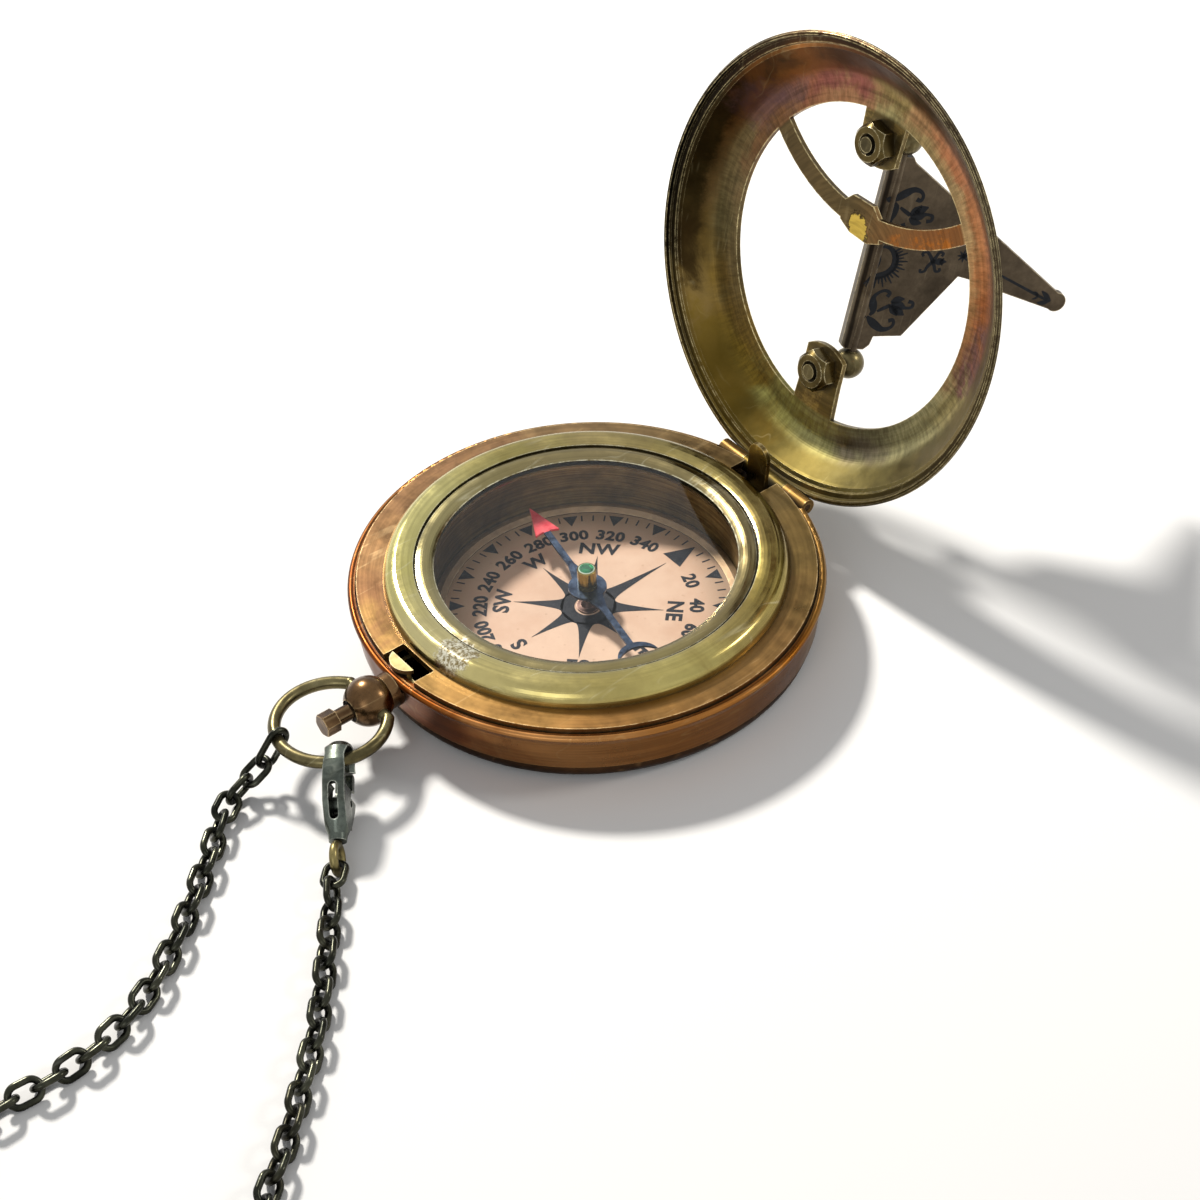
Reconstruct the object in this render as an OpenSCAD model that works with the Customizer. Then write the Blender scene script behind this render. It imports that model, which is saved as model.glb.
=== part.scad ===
// Sundial compass: a round pocket case with a push button, a compass under glass,
// a ring lid that carries a folding gnomon, and a chain with a lobster clasp on the bow.
// The origin is the centre of the flat back. +Y points to the lid hinge, -Y to the bow.

/* [Case] */
// Outer radius of the case at its lip
case_r = 38; // [36:0.25:42]
// Height of the lip above the flat back
case_h = 10.3; // [10:0.1:12]
// Width of the lip
lip_w = 1.2; // [1:0.05:1.4]
// Thickness of the side wall at its foot
wall_t = 0.9; // [0.8:0.05:1.1]
// Height of the back cover's rounded edge
back_h = 2.8; // [2.5:0.1:3.1]
// Thickness of the back cover's floor
back_t = 1.2; // [1:0.05:1.3]
// Thickness of the flat ledge ring
ledge_t = 1.2; // [1:0.05:1.4]
// Rise of the ledge above the lip
ledge_rise = 0.7; // [0.6:0.05:0.9]
// Gap between the lip and the ledge
ledge_gap = 0.25; // [0.15:0.05:0.35]
// Half width of the two slots in the ledge
slot_half = 4; // [3.8:0.1:4.6]
// Length of the two slots inward from the ledge's edge
slot_depth = 4; // [3.6:0.1:4.2]

/* [Bezel and glass] */
// Radius of the bezel's foot
bezel_r = 32.3; // [32:0.1:32.4]
// Rise of the bezel's crest above the ledge
bezel_rise = 3; // [2.6:0.1:3.4]
// Radius of the bright line inside the crest
bezel_line_r = 27.3; // [27:0.1:28]
// Radius of the glass opening
opening_r = 24.1; // [23.6:0.1:24.3]
// Thickness of the glass
glass_t = 1; // [0.8:0.1:1.2]
// Height of the ring under the glass
glass_ring_t = 0.6; // [0.4:0.1:0.7]

/* [Compass] */
// Radius of the dial
dial_r = 25; // [24.8:0.05:25.1]
// Thickness of the dial
dial_t = 0.5; // [0.4:0.05:0.6]
// Thickness of the well's wall and floor
well_t = 0.8; // [0.7:0.05:0.85]
// Inner radius of the raised ring round the dial
dial_ring_r = 23.1; // [22.9:0.1:23.4]
// Height of the raised ring round the dial
dial_ring_h = 0.7; // [0.5:0.1:0.9]
// Height of the needle above the dial
needle_lift = 3.9; // [3.5:0.1:4.1]
// Thickness of the needle
needle_t = 0.4; // [0.3:0.05:0.5]
// Reach of the needle's red point
needle_tip = 21.9; // [20:0.1:22.2]
// Reach of the needle's tail
needle_tail = 17.3; // [16:0.1:18]
// Radius of the needle's hub
needle_hub_r = 3.1; // [2.8:0.1:3.6]
// Radius of the brass cap
cap_r = 1.55; // [1.45:0.05:1.8]
// Height of the brass cap above the needle
cap_h = 3.6; // [3.4:0.1:3.8]
// Bearing of the needle's red point
needle_bearing = 282; // [0:1:359]

/* [Lid] */
// Angle of the open lid from closed
lid_open = 106; // [95:0.5:110]
// Distance of the lid's rim inside the case's lip
lid_inset = 0.3; // [0.15:0.05:0.5]
// Height of the lid's flat face above its rim
lid_h = 7; // [6.8:0.1:7.2]
// Thickness of the lid
lid_t = 0.9; // [0.8:0.05:1]
// Radius of the lid's opening
lid_hole_r = 26.1; // [25.8:0.1:26.6]
// Radius of the crossbar's arc
bar_arc_r = 32.4; // [31:0.2:34]
// Distance of the crossbar's middle from the lid's centre
bar_mid = 8.3; // [7.5:0.1:9]
// Width of the crossbar
bar_w = 3.2; // [2.8:0.1:3.6]
// Width of the two lugs
lug_w = 8.4; // [8:0.1:9]
// Distance from the lid's centre to the end of the lug at the hinge
lug_end = 14.2; // [13.6:0.1:14.6]
// Distance from the lid's centre to the end of the lug at the bow
far_lug_end = 17.6; // [17:0.1:18.2]

/* [Gnomon] */
// Distance of each post from the middle of the pivot axis
post_reach = 20; // [19.6:0.1:20.4]
// Shift of both posts from the lid's centre toward the bow
post_shift = 1.6; // [1.2:0.1:2]
// Height of the pivot axis above the lid's face
post_h = 5.2; // [5:0.1:5.6]
// Radius of the ball on each post
ball_r = 2.6; // [2.4:0.1:2.7]
// Radius of the posts' threaded shanks
shank_r = 1.25; // [1.1:0.05:1.35]
// Size of the hexagon nuts across their flats
nut_af = 6.2; // [5.8:0.1:6.4]
// Height of the hexagon nuts
nut_h = 2.8; // [2.4:0.1:2.9]
// Thickness of the gnomon plate
gnomon_t = 1.3; // [1.1:0.1:1.4]
// Reach of the gnomon from its pivot axis
gnomon_reach = 35; // [33:0.25:35.5]
// Radius of the gnomon's pivot pins
gnomon_pin_r = 0.8; // [0.7:0.05:0.9]
// Lean of the gnomon from the lid's normal
gnomon_lean = 25; // [0:1:60]

/* [Hinge] */
// Radius of the hinge knuckles
knuckle_r = 1.4; // [1.3:0.05:1.45]
// Radius of the hinge pin
hinge_pin_r = 0.6; // [0.5:0.05:0.65]
// Half length of the hinge
hinge_half = 10.5; // [9.8:0.1:11]
// Half length of the lid's middle knuckle
mid_knuckle_half = 5; // [4.8:0.1:5.4]

/* [Pendant] */
// Radius of the pendant ball
pendant_r = 3.95; // [3.7:0.05:4.05]
// Distance of the pendant ball from the case's lip
pendant_gap = 4.2; // [4:0.1:4.6]
// Depth of the pendant's middle below the lip
pendant_drop = 2.6; // [2.5:0.1:2.8]
// Radius of the button's rod
rod_r = 1.3; // [1.15:0.05:1.35]
// Size of the button's head across its flats
head_af = 3.3; // [3:0.1:3.8]
// Length of the button's head
head_l = 2.4; // [2.2:0.1:2.8]
// Travel of the button
button_travel = 1.6; // [1.4:0.1:1.7]
// Radius of the bow's ring at the middle of its wire
bow_r = 8.6; // [8.4:0.1:9]
// Radius of the bow's wire
bow_wire_r = 1; // [0.85:0.05:1.05]

/* [Chain] */
// Length of one link outside
link_l = 5.9; // [5.6:0.05:6.1]
// Width of one link outside
link_w = 4.1; // [3.9:0.05:4.2]
// Radius of the links' wire
link_wire_r = 0.52; // [0.48:0.01:0.54]
// Length of the first link, which hangs on the bow
end_link_l = 7.4; // [7.2:0.1:7.8]

/* [Clasp] */
// Length of the clasp's body from the bow's wire to its tail
clasp_l = 10.6; // [10:0.2:11.4]
// Radius of the clasp's body
clasp_r = 3; // [2.9:0.1:3.2]
// Thickness of the clasp's body
clasp_t = 2.8; // [2.6:0.1:3]
// Growth of the whole clasp over that pattern
clasp_grow = 1.22; // [1.1:0.02:1.24]

/* [Hidden] */
$fn = 96;

fit = 0.05;               // running clearance of a pin in its bore, on the radius
slip = 0.1;               // clearance between pieces that slide past each other
far = 200;                // longer than anything in the part

// Heights and radii of the case
lip_in_r = case_r - lip_w;
ledge_r = lip_in_r - ledge_gap;
ledge_top = case_h + ledge_rise;
ledge_z = ledge_top - ledge_t;
band_in_r = case_r - 2;
foot_r = band_in_r + wall_t;
slot_in = ledge_r - slot_depth;
pendant_z = case_h - pendant_drop;

// The well, the glass above it and the bezel that holds both
well_in_r = dial_r + slip;
well_out_r = well_in_r + well_t;
well_floor = back_t + well_t;
dial_top = well_floor + dial_t;
well_top = ledge_top + 0.3;
glass_z = well_top + glass_ring_t;
glass_top = glass_z + glass_t;
glass_r = well_in_r + slip;
bezel_top = ledge_top + bezel_rise;

// The needle's own heights
needle_z = dial_top + needle_lift;
cap_top = needle_z + needle_t + cap_h;

// The lid's hinge axis and the lid's own frame
lid_r = case_r - lid_inset;
hinge_y = lid_r - 0.4;
rim_z = case_h + slip;
hinge_z = rim_z - 0.9;
face_in = lid_h - lid_t;
pivot_w = lid_h + post_h;

// The leaf springs in the space between the well and the band
leaf_r = (well_out_r + band_in_r) / 2;
leaf_w = 2;
leaf_t = 0.8;
leaf_turn = 66;
anchor_x = -leaf_r * sin(leaf_turn);
anchor_y = leaf_r * cos(leaf_turn);
lift_z = 2.3;
lift_room = 1.2;         // from the raised leaf's middle to the ledge
lift_travel = ledge_z - lift_room - lift_z;
finger_w = 4.4;
finger_x = -0.7;
finger_y = slot_in + 1.75;
finger_l = 9.9;
lift_turn = asin(lift_travel / (finger_x - anchor_x));
finger_z = lift_z + lift_travel;
screw_r = 1.4;
screw_head_r = 2.3;
screw_head_h = 0.7;
screw_slot_w = 0.5;
boss_r = 2.2;
pad_r = 2.5;
catch_z = pendant_z;
catch_h = 2.2;
catch_y = -(slot_in + 2.75);

// The pendant and the bow
pendant_y = -(case_r + pendant_gap);
bow_half = pendant_r + bow_wire_r + slip;
bow_y = pendant_y - sqrt(bow_r * bow_r - bow_half * bow_half);
head_back_y = pendant_y - pendant_r - button_travel - 0.6;
rod_in_y = catch_y - leaf_t / 2 - slip;
stem_r = 2.2;
stem_y = -(band_in_r - 0.05);
bore_r = rod_r + 0.55;
bore_end_y = stem_y - 1.4;
bush_y = pendant_y - pendant_r + 0.7;
bush_l = 1.6;
flange_y = bush_y + bush_l + slip;
flange_l = 0.7;
pressed_y = flange_y + flange_l + button_travel + slip;

// The chain's links
link_in_l = link_l - 4 * link_wire_r;
longest_pitch = link_in_l - slip;
link_roll = 45;

// Where the first link and the clasp hang on the bow's wire
end_link_turn = 256;
clasp_turn = 335;
clasp_yaw = -37.5;
clasp_pitch = 21;
clasp_roll = -80;
eye_r = 1.7;
eye_wire_r = 0.55;
eye_x = clasp_l + 2.2;
function bow_wire_at(turn) = [bow_r * cos(turn), bow_y + bow_r * sin(turn), pendant_z];
clasp_way = [cos(clasp_pitch) * cos(clasp_yaw), cos(clasp_pitch) * sin(clasp_yaw), -sin(clasp_pitch)];

// The chain starts in the first link, lies on the ground through these points and ends in the clasp's eye
end_link_way = [0, -0.66, -0.751];
end_link_x = end_link_l / 2 - 2 * link_wire_r - bow_wire_r - slip;
chain_start = bow_wire_at(end_link_turn)
    + (end_link_x + end_link_l / 2 - 2 * link_wire_r + (link_in_l - longest_pitch) / 2 - slip) * end_link_way;
eye_at = bow_wire_at(clasp_turn) + clasp_grow * eye_x * clasp_way;
chain_z = 1.75;
CHAIN_ROUTE = [chain_start, [-2.1, -62.3, 3.35], [-1.9, -64.4, 2.7], [-1.3, -66.7, 2.2], [0.5, -69.6, 1.85],
    [4.8, -74, chain_z], [11.4, -81.2, chain_z], [17.6, -88.6, chain_z], [23, -96.4, chain_z],
    [26.4, -104.6, chain_z], [27.7, -113.6, chain_z], [27.4, -122, chain_z], [28.6, -130, chain_z],
    [33, -137.4, chain_z], [41, -142, chain_z], [51, -142.6, chain_z], [60.4, -138.6, chain_z],
    [67, -130.6, chain_z], [69.6, -120, chain_z], [67.8, -109.4, chain_z], [62, -101.4, chain_z],
    [56.4, -94.6, chain_z], [50.6, -88.6, chain_z], [44.8, -82.6, chain_z], [38.8, -77.4, chain_z],
    [32, -72, chain_z], [26, -67.2, chain_z], [21.8, -64.2, 2.1],
    [eye_at[0] + 0.87, eye_at[1] - 0.76, 1.8]];

// Small helpers

// A straight pin along X, centred on the given point
module pin_x(r, half, p) {
    translate(p) rotate([0, 90, 0]) cylinder(r = r, h = 2 * half, center = true);
}

// A flat ring
module ring(r_out, r_in, z0, z1) {
    translate([0, 0, z0]) difference() {
        cylinder(r = r_out, h = z1 - z0);
        translate([0, 0, -1]) cylinder(r = r_in, h = z1 - z0 + 2);
    }
}

// Part of a flat ring between two angles, as an outline
module arc_strip(r_mid, w, a0, a1) {
    steps = 24;
    polygon(concat(
        [for (i = [0:steps]) let (a = a0 + (a1 - a0) * i / steps) (r_mid + w / 2) * [cos(a), sin(a)]],
        [for (i = [steps:-1:0]) let (a = a0 + (a1 - a0) * i / steps) (r_mid - w / 2) * [cos(a), sin(a)]]));
}

// Places children in the lid's frame: origin at the closed rim's centre, y to the hinge, z outward
module in_lid() {
    translate([0, hinge_y, hinge_z]) rotate([-lid_open, 0, 0]) translate([0, -hinge_y, rim_z - hinge_z])
        children();
}

// Places children in the gnomon's frame: x along the pivot axis to the bow side, y away from it
module in_gnomon() {
    in_lid() translate([0, -post_shift, pivot_w]) rotate([0, gnomon_lean, 0])
        rotate([0, 0, -90]) rotate([90, 0, 0]) children();
}

// Case

module back_cover() {
    color("#4d4032") difference() {
        rotate_extrude($fn = 128) difference() {
            union() {
                square([foot_r - 2.4, back_h]);
                translate([foot_r - 2.6, 2.2]) circle(r = 2.2);
            }
            translate([-1, back_h]) square([case_r + 2, 4]);
            translate([-1, back_t]) square([foot_r - 1.7, 4]);
            translate([-4, -4]) square([4, 12]);
        }
        // the lift spring's finger comes down into this notch
        translate([-finger_w, 0, back_t]) cube([2 * finger_w, finger_y + leaf_t + slip, far]);
    }
}

// The side wall with its rolled lip, the shoulder under the ledge and the outer hinge knuckles
module case_band() {
    wall = [[band_in_r, back_h], [foot_r - 0.5, back_h], [foot_r, back_h + 0.35], [foot_r + 0.25, back_h + 2.4],
        [case_r - 0.45, case_h - 1.7], [case_r - 0.25, case_h - 1.1], [case_r - 0.6, case_h - 0.6],
        [lip_in_r, case_h - 0.6], [lip_in_r, ledge_z], [band_in_r, ledge_z]];
    color("#a8743c") difference() {
        union() {
            difference() {
                rotate_extrude($fn = 128) union() {
                    polygon(wall);
                    translate([case_r - 0.6, case_h - 0.6]) circle(r = 0.6, $fn = 32);
                    translate([lip_in_r, case_h - 1.1]) square([lip_w - 0.6, 1]);
                }
                translate([-hinge_half - 0.2, hinge_y - knuckle_r - 0.3, hinge_z - knuckle_r - 0.4])
                    cube([2 * hinge_half + 0.4, 6, 6]);
            }
            for (s = [-1, 1]) {
                pin_x(knuckle_r, (hinge_half - mid_knuckle_half - slip) / 2,
                    [s * (hinge_half + mid_knuckle_half + slip) / 2, hinge_y, hinge_z]);
                translate([s > 0 ? mid_knuckle_half + slip : -hinge_half, hinge_y - knuckle_r - 0.3,
                    hinge_z - knuckle_r - 1])
                    cube([hinge_half - mid_knuckle_half - slip, knuckle_r * 1.1, knuckle_r + 1]);
            }
        }
        pin_x(hinge_pin_r + fit, hinge_half + 1, [0, hinge_y, hinge_z]);
        translate([0, pendant_y, pendant_z]) rotate([-90, 0, 0]) cylinder(r = stem_r + 0.02, h = 12);
    }
}

module ledge_ring() {
    color("#b07c4a") difference() {
        ring(ledge_r, well_out_r + fit, ledge_z, ledge_top);
        for (s = [-1, 1]) translate([-slot_half, s > 0 ? slot_in : -case_r, ledge_z - 1])
            cube([2 * slot_half, case_r - slot_in, ledge_t + 2]);
        pin_x(knuckle_r + 0.2, hinge_half + 0.2, [0, hinge_y, hinge_z]);
    }
}

// Glass and bezel

module bezel() {
    crest_r = (bezel_r + bezel_line_r) / 2;
    half = bezel_r - crest_r;
    crest = [for (i = [0:14]) let (a = 6 * i) [crest_r + half * cos(a), ledge_top + bezel_rise * sin(a)]];
    inner = [for (i = [1:5]) let (a = 12 * i)
        [crest_r - (crest_r - bezel_line_r) * sin(a) / sin(60), bezel_top - 0.35 * (1 - cos(a)) / 0.5]];
    // a low bead between the crease and the glass
    bead = [for (i = [0:8]) let (t = i / 8) [bezel_line_r - 0.35 + (opening_r - bezel_line_r + 0.35) * t,
        bezel_top - 0.6 + (glass_top - bezel_top + 0.65) * t + 0.4 * sin(180 * t)]];
    color("#c9bf62") rotate_extrude($fn = 128) polygon(concat(crest, inner, [
        [bezel_line_r - 0.1, bezel_top - 0.85], [bezel_line_r - 0.35, bezel_top - 0.85]], bead, [
        [opening_r, glass_top],
        [glass_r + slip, glass_top], [glass_r + slip, well_top + fit],
        [well_out_r + fit, well_top + fit], [well_out_r + fit, ledge_top], [bezel_r, ledge_top]]));
}

module glass() {
    color("#dfeaea", 0.3) translate([0, 0, glass_z]) cylinder(r = glass_r, h = glass_t);
}

module glass_ring() {
    color("#8f7d4c") ring(glass_r, opening_r + 0.2, well_top, glass_z);
}

// Compass

module compass_well() {
    color("#9c8a55") difference() {
        translate([0, 0, back_t]) cylinder(r = well_out_r, h = well_top - back_t);
        translate([0, 0, well_floor]) cylinder(r = well_in_r, h = far);
        cylinder(r = 0.9, h = far);
    }
}

module dial_plate() {
    color("#e1bd9a") difference() {
        translate([0, 0, well_floor]) cylinder(r = dial_r, h = dial_t);
        cylinder(r = 0.9, h = far);
    }
}

module dial_ring() {
    color("#a58a66") rotate_extrude() polygon([[dial_ring_r, dial_top], [dial_r, dial_top],
        [dial_r, dial_top + dial_ring_h], [dial_ring_r + 0.9, dial_top + dial_ring_h],
        [dial_ring_r, dial_top + 0.2]]);
}

module pivot_base() {
    color("#b89a58") difference() {
        rotate_extrude($fn = 48) polygon([[0, back_t], [0.85, back_t], [0.85, dial_top], [1.9, dial_top],
            [1.9, dial_top + 0.25], [1.2, dial_top + 0.5], [0.6, dial_top + 1.3], [0, dial_top + 1.3]]);
        translate([0, 0, dial_top]) cylinder(r = 0.36, h = far, $fn = 32);
    }
}

module pivot_pin() {
    tip = cap_top - 0.75;
    color("#9aa0a6") rotate_extrude($fn = 32)
        polygon([[0, dial_top], [0.34, dial_top], [0.34, tip - 1.2], [0, tip]]);
}

// The blued needle lies along +Y and turns with its bearing: arrow, two arms, hub and crescent tail
module needle() {
    head = 6.4;
    arm = 0.55;
    root = needle_hub_r - 0.9;
    crescent_r = 3.4;
    color("#26333f") rotate([0, 0, -needle_bearing]) translate([0, 0, needle_z])
        linear_extrude(needle_t) difference() {
            union() {
                circle(r = needle_hub_r);
                polygon([[-arm, -needle_tail + 1.3], [arm, -needle_tail + 1.3], [arm, -6], [1.5, -root],
                    [1.5, root],
                    [arm, 6], [arm, needle_tip - head + 0.5], [-arm, needle_tip - head + 0.5], [-arm, 6],
                    [-1.5, root], [-1.5, -root], [-arm, -6]]);
                polygon([[-2.1, needle_tip - head - 0.6], [0, needle_tip - head],
                    [2.1, needle_tip - head - 0.6],
                    [0, needle_tip]]);
                difference() {
                    translate([0, -needle_tail - crescent_r + 2.1]) circle(r = crescent_r);
                    translate([0, -needle_tail - crescent_r + 0.5]) circle(r = crescent_r + 0.5);
                }
            }
            circle(r = 1.2, $fn = 32);
        }
}

module needle_cap() {
    seat = needle_z + needle_t;
    color("#b59a4e") difference() {
        rotate_extrude($fn = 48) polygon([[0, needle_z - 0.1], [1.15, needle_z - 0.1], [1.15, seat],
            [cap_r, seat],
            [cap_r, cap_top], [cap_r - 0.12, cap_top + 0.12], [cap_r - 0.2, cap_top + 0.12],
            [cap_r - 0.2, cap_top - 0.1], [0, cap_top - 0.1]]);
        rotate_extrude($fn = 32) polygon([[0, needle_z - 1], [0.85, needle_z - 1], [0.85, cap_top - 1.7],
            [0, cap_top - 0.65]]);
    }
}

module needle_jewel() {
    r = cap_r - 0.25;
    color("#1f7a4a") rotate_extrude($fn = 48) polygon([[0, cap_top - 0.1], [r, cap_top - 0.1], [r, cap_top + 0.1],
        [r * 0.6, cap_top + 0.35], [0, cap_top + 0.4]]);
}

// Springs and catch

// The spring that lifts the lid: a leaf under the ledge, raised at rest, with a finger through the slot
module lift_spring() {
    color("#8a8468") mirror([1, 0, 0]) union() {
        translate([anchor_x, 0, lift_z]) rotate([0, -lift_turn, 0]) translate([-anchor_x, 0, -lift_z])
            difference() {
                translate([0, 0, lift_z - leaf_t / 2]) linear_extrude(leaf_t) union() {
                    arc_strip(leaf_r, leaf_w, 92, 90 + leaf_turn);
                    translate([anchor_x, anchor_y]) circle(r = 2.4, $fn = 48);
                    translate([finger_x - finger_w / 2, leaf_r - leaf_w / 2 - 0.1])
                        square([finger_w, finger_y - leaf_r + leaf_w / 2 + leaf_t / 2]);
                }
                translate([anchor_x, anchor_y, -1]) cylinder(r = screw_r + 0.5, h = far, $fn = 48);
            }
        translate([finger_x, finger_y, finger_z]) rotate([0, -lift_turn / 2, 0]) union() {
            translate([-finger_w / 2, 0, -leaf_t / 2])
                cube([finger_w, leaf_t, finger_l - finger_w / 2 + leaf_t / 2]);
            translate([0, 0, finger_l - finger_w / 2]) rotate([-90, 0, 0])
                cylinder(r = finger_w / 2, h = leaf_t, $fn = 48);
        }
    }
}

// A cheese-head screw on its boss, which holds a leaf between two heights
module leaf_screw(x, y, z0, z1) {
    color("#8f8f86") translate([x, y, 0]) difference() {
        union() {
            translate([0, 0, back_t]) cylinder(r = boss_r, h = z0 - back_t, $fn = 48);
            translate([0, 0, back_t]) cylinder(r = screw_r, h = z1 - back_t, $fn = 48);
            translate([0, 0, z1]) cylinder(r = screw_head_r, h = screw_head_h, $fn = 48);
        }
        translate([-boss_r - 0.8, -screw_slot_w / 2, z1 + 0.3])
            cube([2 * boss_r + 1.6, screw_slot_w, screw_head_h + 0.3]);
    }
}

module lift_spring_screw() {
    leaf_screw(-anchor_x, anchor_y, lift_z - leaf_t / 2 - 0.6, lift_z + leaf_t / 2 + 0.65);
}

// The catch: an upright strip that the button's rod pushes inward, with a half-moon nib in the slot
module catch_spring() {
    nib_z = case_h + slip;
    nib_top = ledge_top + 0.15;
    foot = 264;
    strip_x = leaf_r * cos(foot);
    strip_y = leaf_r * sin(foot);
    color("#9b8a4f") difference() {
        union() {
            translate([0, 0, catch_z - catch_h / 2]) linear_extrude(catch_h) union() {
                arc_strip(leaf_r, leaf_t, foot, 270 - leaf_turn);
                translate([strip_x - leaf_t / 2, catch_y - leaf_t / 2])
                    square([leaf_t, strip_y - catch_y + leaf_t]);
                translate([strip_x - leaf_t / 2, catch_y - leaf_t / 2]) square([3 - strip_x, leaf_t]);
                translate([anchor_x, -anchor_y]) circle(r = pad_r, $fn = 48);
                translate([anchor_x, -anchor_y - button_travel]) circle(r = pad_r, $fn = 48);
            }
            translate([-2.6, catch_y - leaf_t / 2, catch_z]) cube([3.8, leaf_t, nib_top - catch_z]);
            translate([0, 0, nib_z]) linear_extrude(nib_top - nib_z) intersection() {
                circle(r = lid_r - 0.85);
                translate([-0.8, catch_y + 1.4]) circle(r = 2.96);
                translate([-5, -case_r]) square([10, case_r + catch_y + leaf_t / 2]);
            }
        }
        for (t = [0, -button_travel]) translate([anchor_x, -anchor_y + t, -1])
            cylinder(r = screw_r + fit, h = far, $fn = 48);
        translate([anchor_x - screw_r - fit, -anchor_y - button_travel, -1])
            cube([2 * (screw_r + fit), button_travel, far]);
    }
}

module catch_spring_screw() {
    leaf_screw(anchor_x, -anchor_y, catch_z - catch_h / 2 - slip, catch_z + catch_h / 2 + slip - 0.05);
}

module hinge_pin() {
    color("#7c6a45") pin_x(hinge_pin_r, hinge_half - 0.1, [0, hinge_y, hinge_z]);
}

// Lid

// The lid's turned section: rolled rim, recess, sloping flank, rounded shoulder and flat face
module lid_section() {
    shoulder = 4.7;
    flank = lid_r + 0.25;          // radius plus height along the flank's outside
    top_r = flank - lid_h - shoulder * (sqrt(2) - 1);
    inner = flank - lid_t * sqrt(2);
    rim_in = lid_r - 0.75;
    polygon(concat(
        [[rim_in, 0], [lid_r - 0.3, 0], [lid_r, 0.3], [lid_r, 0.7], [lid_r - 0.45, 1], [lid_r - 0.8, 1.35],
            [lid_r - 1.25, 1.7]],
        [for (i = [0:8]) let (a = 45 + 45 * i / 8)
            [top_r + shoulder * cos(a), lid_h - shoulder + shoulder * sin(a)]],
        [[lid_hole_r, lid_h], [lid_hole_r, face_in]],
        [for (i = [8:-1:0]) let (a = 45 + 45 * i / 8, t = shoulder - lid_t)
            [top_r + t * cos(a), lid_h - shoulder + t * sin(a)]],
        [[inner - 2, 2], [rim_in - 1.95, 1.65], [rim_in - 1.3, 1.4], [rim_in - 1.15, 1.05],
            [rim_in - 0.35, 0.95],
            [rim_in, 0.7]]));
}

// The arched crossbar with its six-sided bump, and the two lugs
module lid_web() {
    bar_c = bar_mid + bar_arc_r;
    half = asin((lid_hole_r + 1) / bar_arc_r * 0.82);
    intersection() {
        circle(r = lid_hole_r + 1.2);
        union() {
            translate([0, bar_c]) arc_strip(bar_arc_r, bar_w, 270 - half, 270 + half);
            translate([0, bar_mid + 0.3]) polygon([[-4, 1.6], [-2.6, 3], [2, 3], [3.8, 1.4], [5, -2.2], [2.4, -3.3],
                [-1.6, -3.1], [-4.2, -1.9]]);
            for (s = [-1, 1]) let (end = s > 0 ? far_lug_end : lug_end) scale([1, s]) difference() {
                polygon([[-lug_w / 2 - 0.4, lid_hole_r + 1], [lug_w / 2 + 0.4, lid_hole_r + 1],
                    [lug_w / 2, post_reach], [lug_w / 2, end], [-lug_w / 2, end], [-lug_w / 2, post_reach]]);
                difference() {
                    translate([-lug_w, end - 1]) square([2 * lug_w, 4]);
                    translate([0, end + 7]) circle(r = 7);
                }
            }
        }
    }
}

module lid() {
    color("#8c7433") in_lid() mirror([0, 1, 0]) difference() {
        union() {
            difference() {
                rotate_extrude($fn = 128) lid_section();
                for (s = [-1, 1]) pin_x(knuckle_r + 0.2, (hinge_half - mid_knuckle_half + 0.2) / 2,
                    [s * (hinge_half + mid_knuckle_half + 0.2) / 2, -hinge_y, hinge_z - rim_z]);
            }
            translate([0, 0, face_in]) linear_extrude(lid_t) lid_web();
            pin_x(knuckle_r, mid_knuckle_half, [0, -hinge_y, hinge_z - rim_z]);
        }
        pin_x(hinge_pin_r + fit, hinge_half + 1, [0, -hinge_y, hinge_z - rim_z]);
        for (s = [-1, 1]) translate([0, post_shift + s * post_reach, face_in - 1])
            cylinder(r = shank_r + fit, h = 4, $fn = 48);
    }
}

// Gnomon and its posts

// One ball-headed post on its shank, at the given end of the pivot axis
module gnomon_post(end) {
    color("#8a7f60") in_lid() translate([0, -end * post_reach - post_shift, 0]) difference() {
        union() {
            translate([0, 0, face_in - nut_h - 0.3]) cylinder(r = shank_r, h = nut_h + 0.5 + lid_t, $fn = 48);
            translate([0, 0, lid_h]) cylinder(r = 2, h = 0.7, $fn = 48);
            translate([0, 0, lid_h + 0.6]) cylinder(r = 1.3, h = post_h - 1, $fn = 48);
            translate([0, 0, pivot_w]) rotate([90, 0, 0]) sphere(r = ball_r, $fn = 64);
        }
        translate([0, 0, pivot_w]) rotate([90, 0, 0])
            cylinder(r = gnomon_pin_r + fit, h = 3 * ball_r, center = true, $fn = 48);
    }
}

module gnomon_post_north() {
    gnomon_post(-1);
}

module gnomon_post_south() {
    gnomon_post(1);
}

module post_nuts() {
    color("#9c8b52") in_lid() for (s = [-1, 1]) translate([0, s * post_reach - post_shift, face_in - nut_h])
        difference() {
            intersection() {
                rotate([0, 0, 12]) cylinder(d = nut_af / cos(30), h = nut_h, $fn = 6);
                cylinder(r1 = nut_af / 2 - 0.35, r2 = nut_af / 2 - 0.35 + nut_h, h = nut_h, $fn = 64);
            }
            translate([0, 0, -1]) cylinder(r = shank_r + fit, h = nut_h + 2, $fn = 48);
            translate([0, 0, -0.1]) cylinder(r1 = shank_r + 0.6, r2 = shank_r, h = 0.6, $fn = 48);
        }
}

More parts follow.
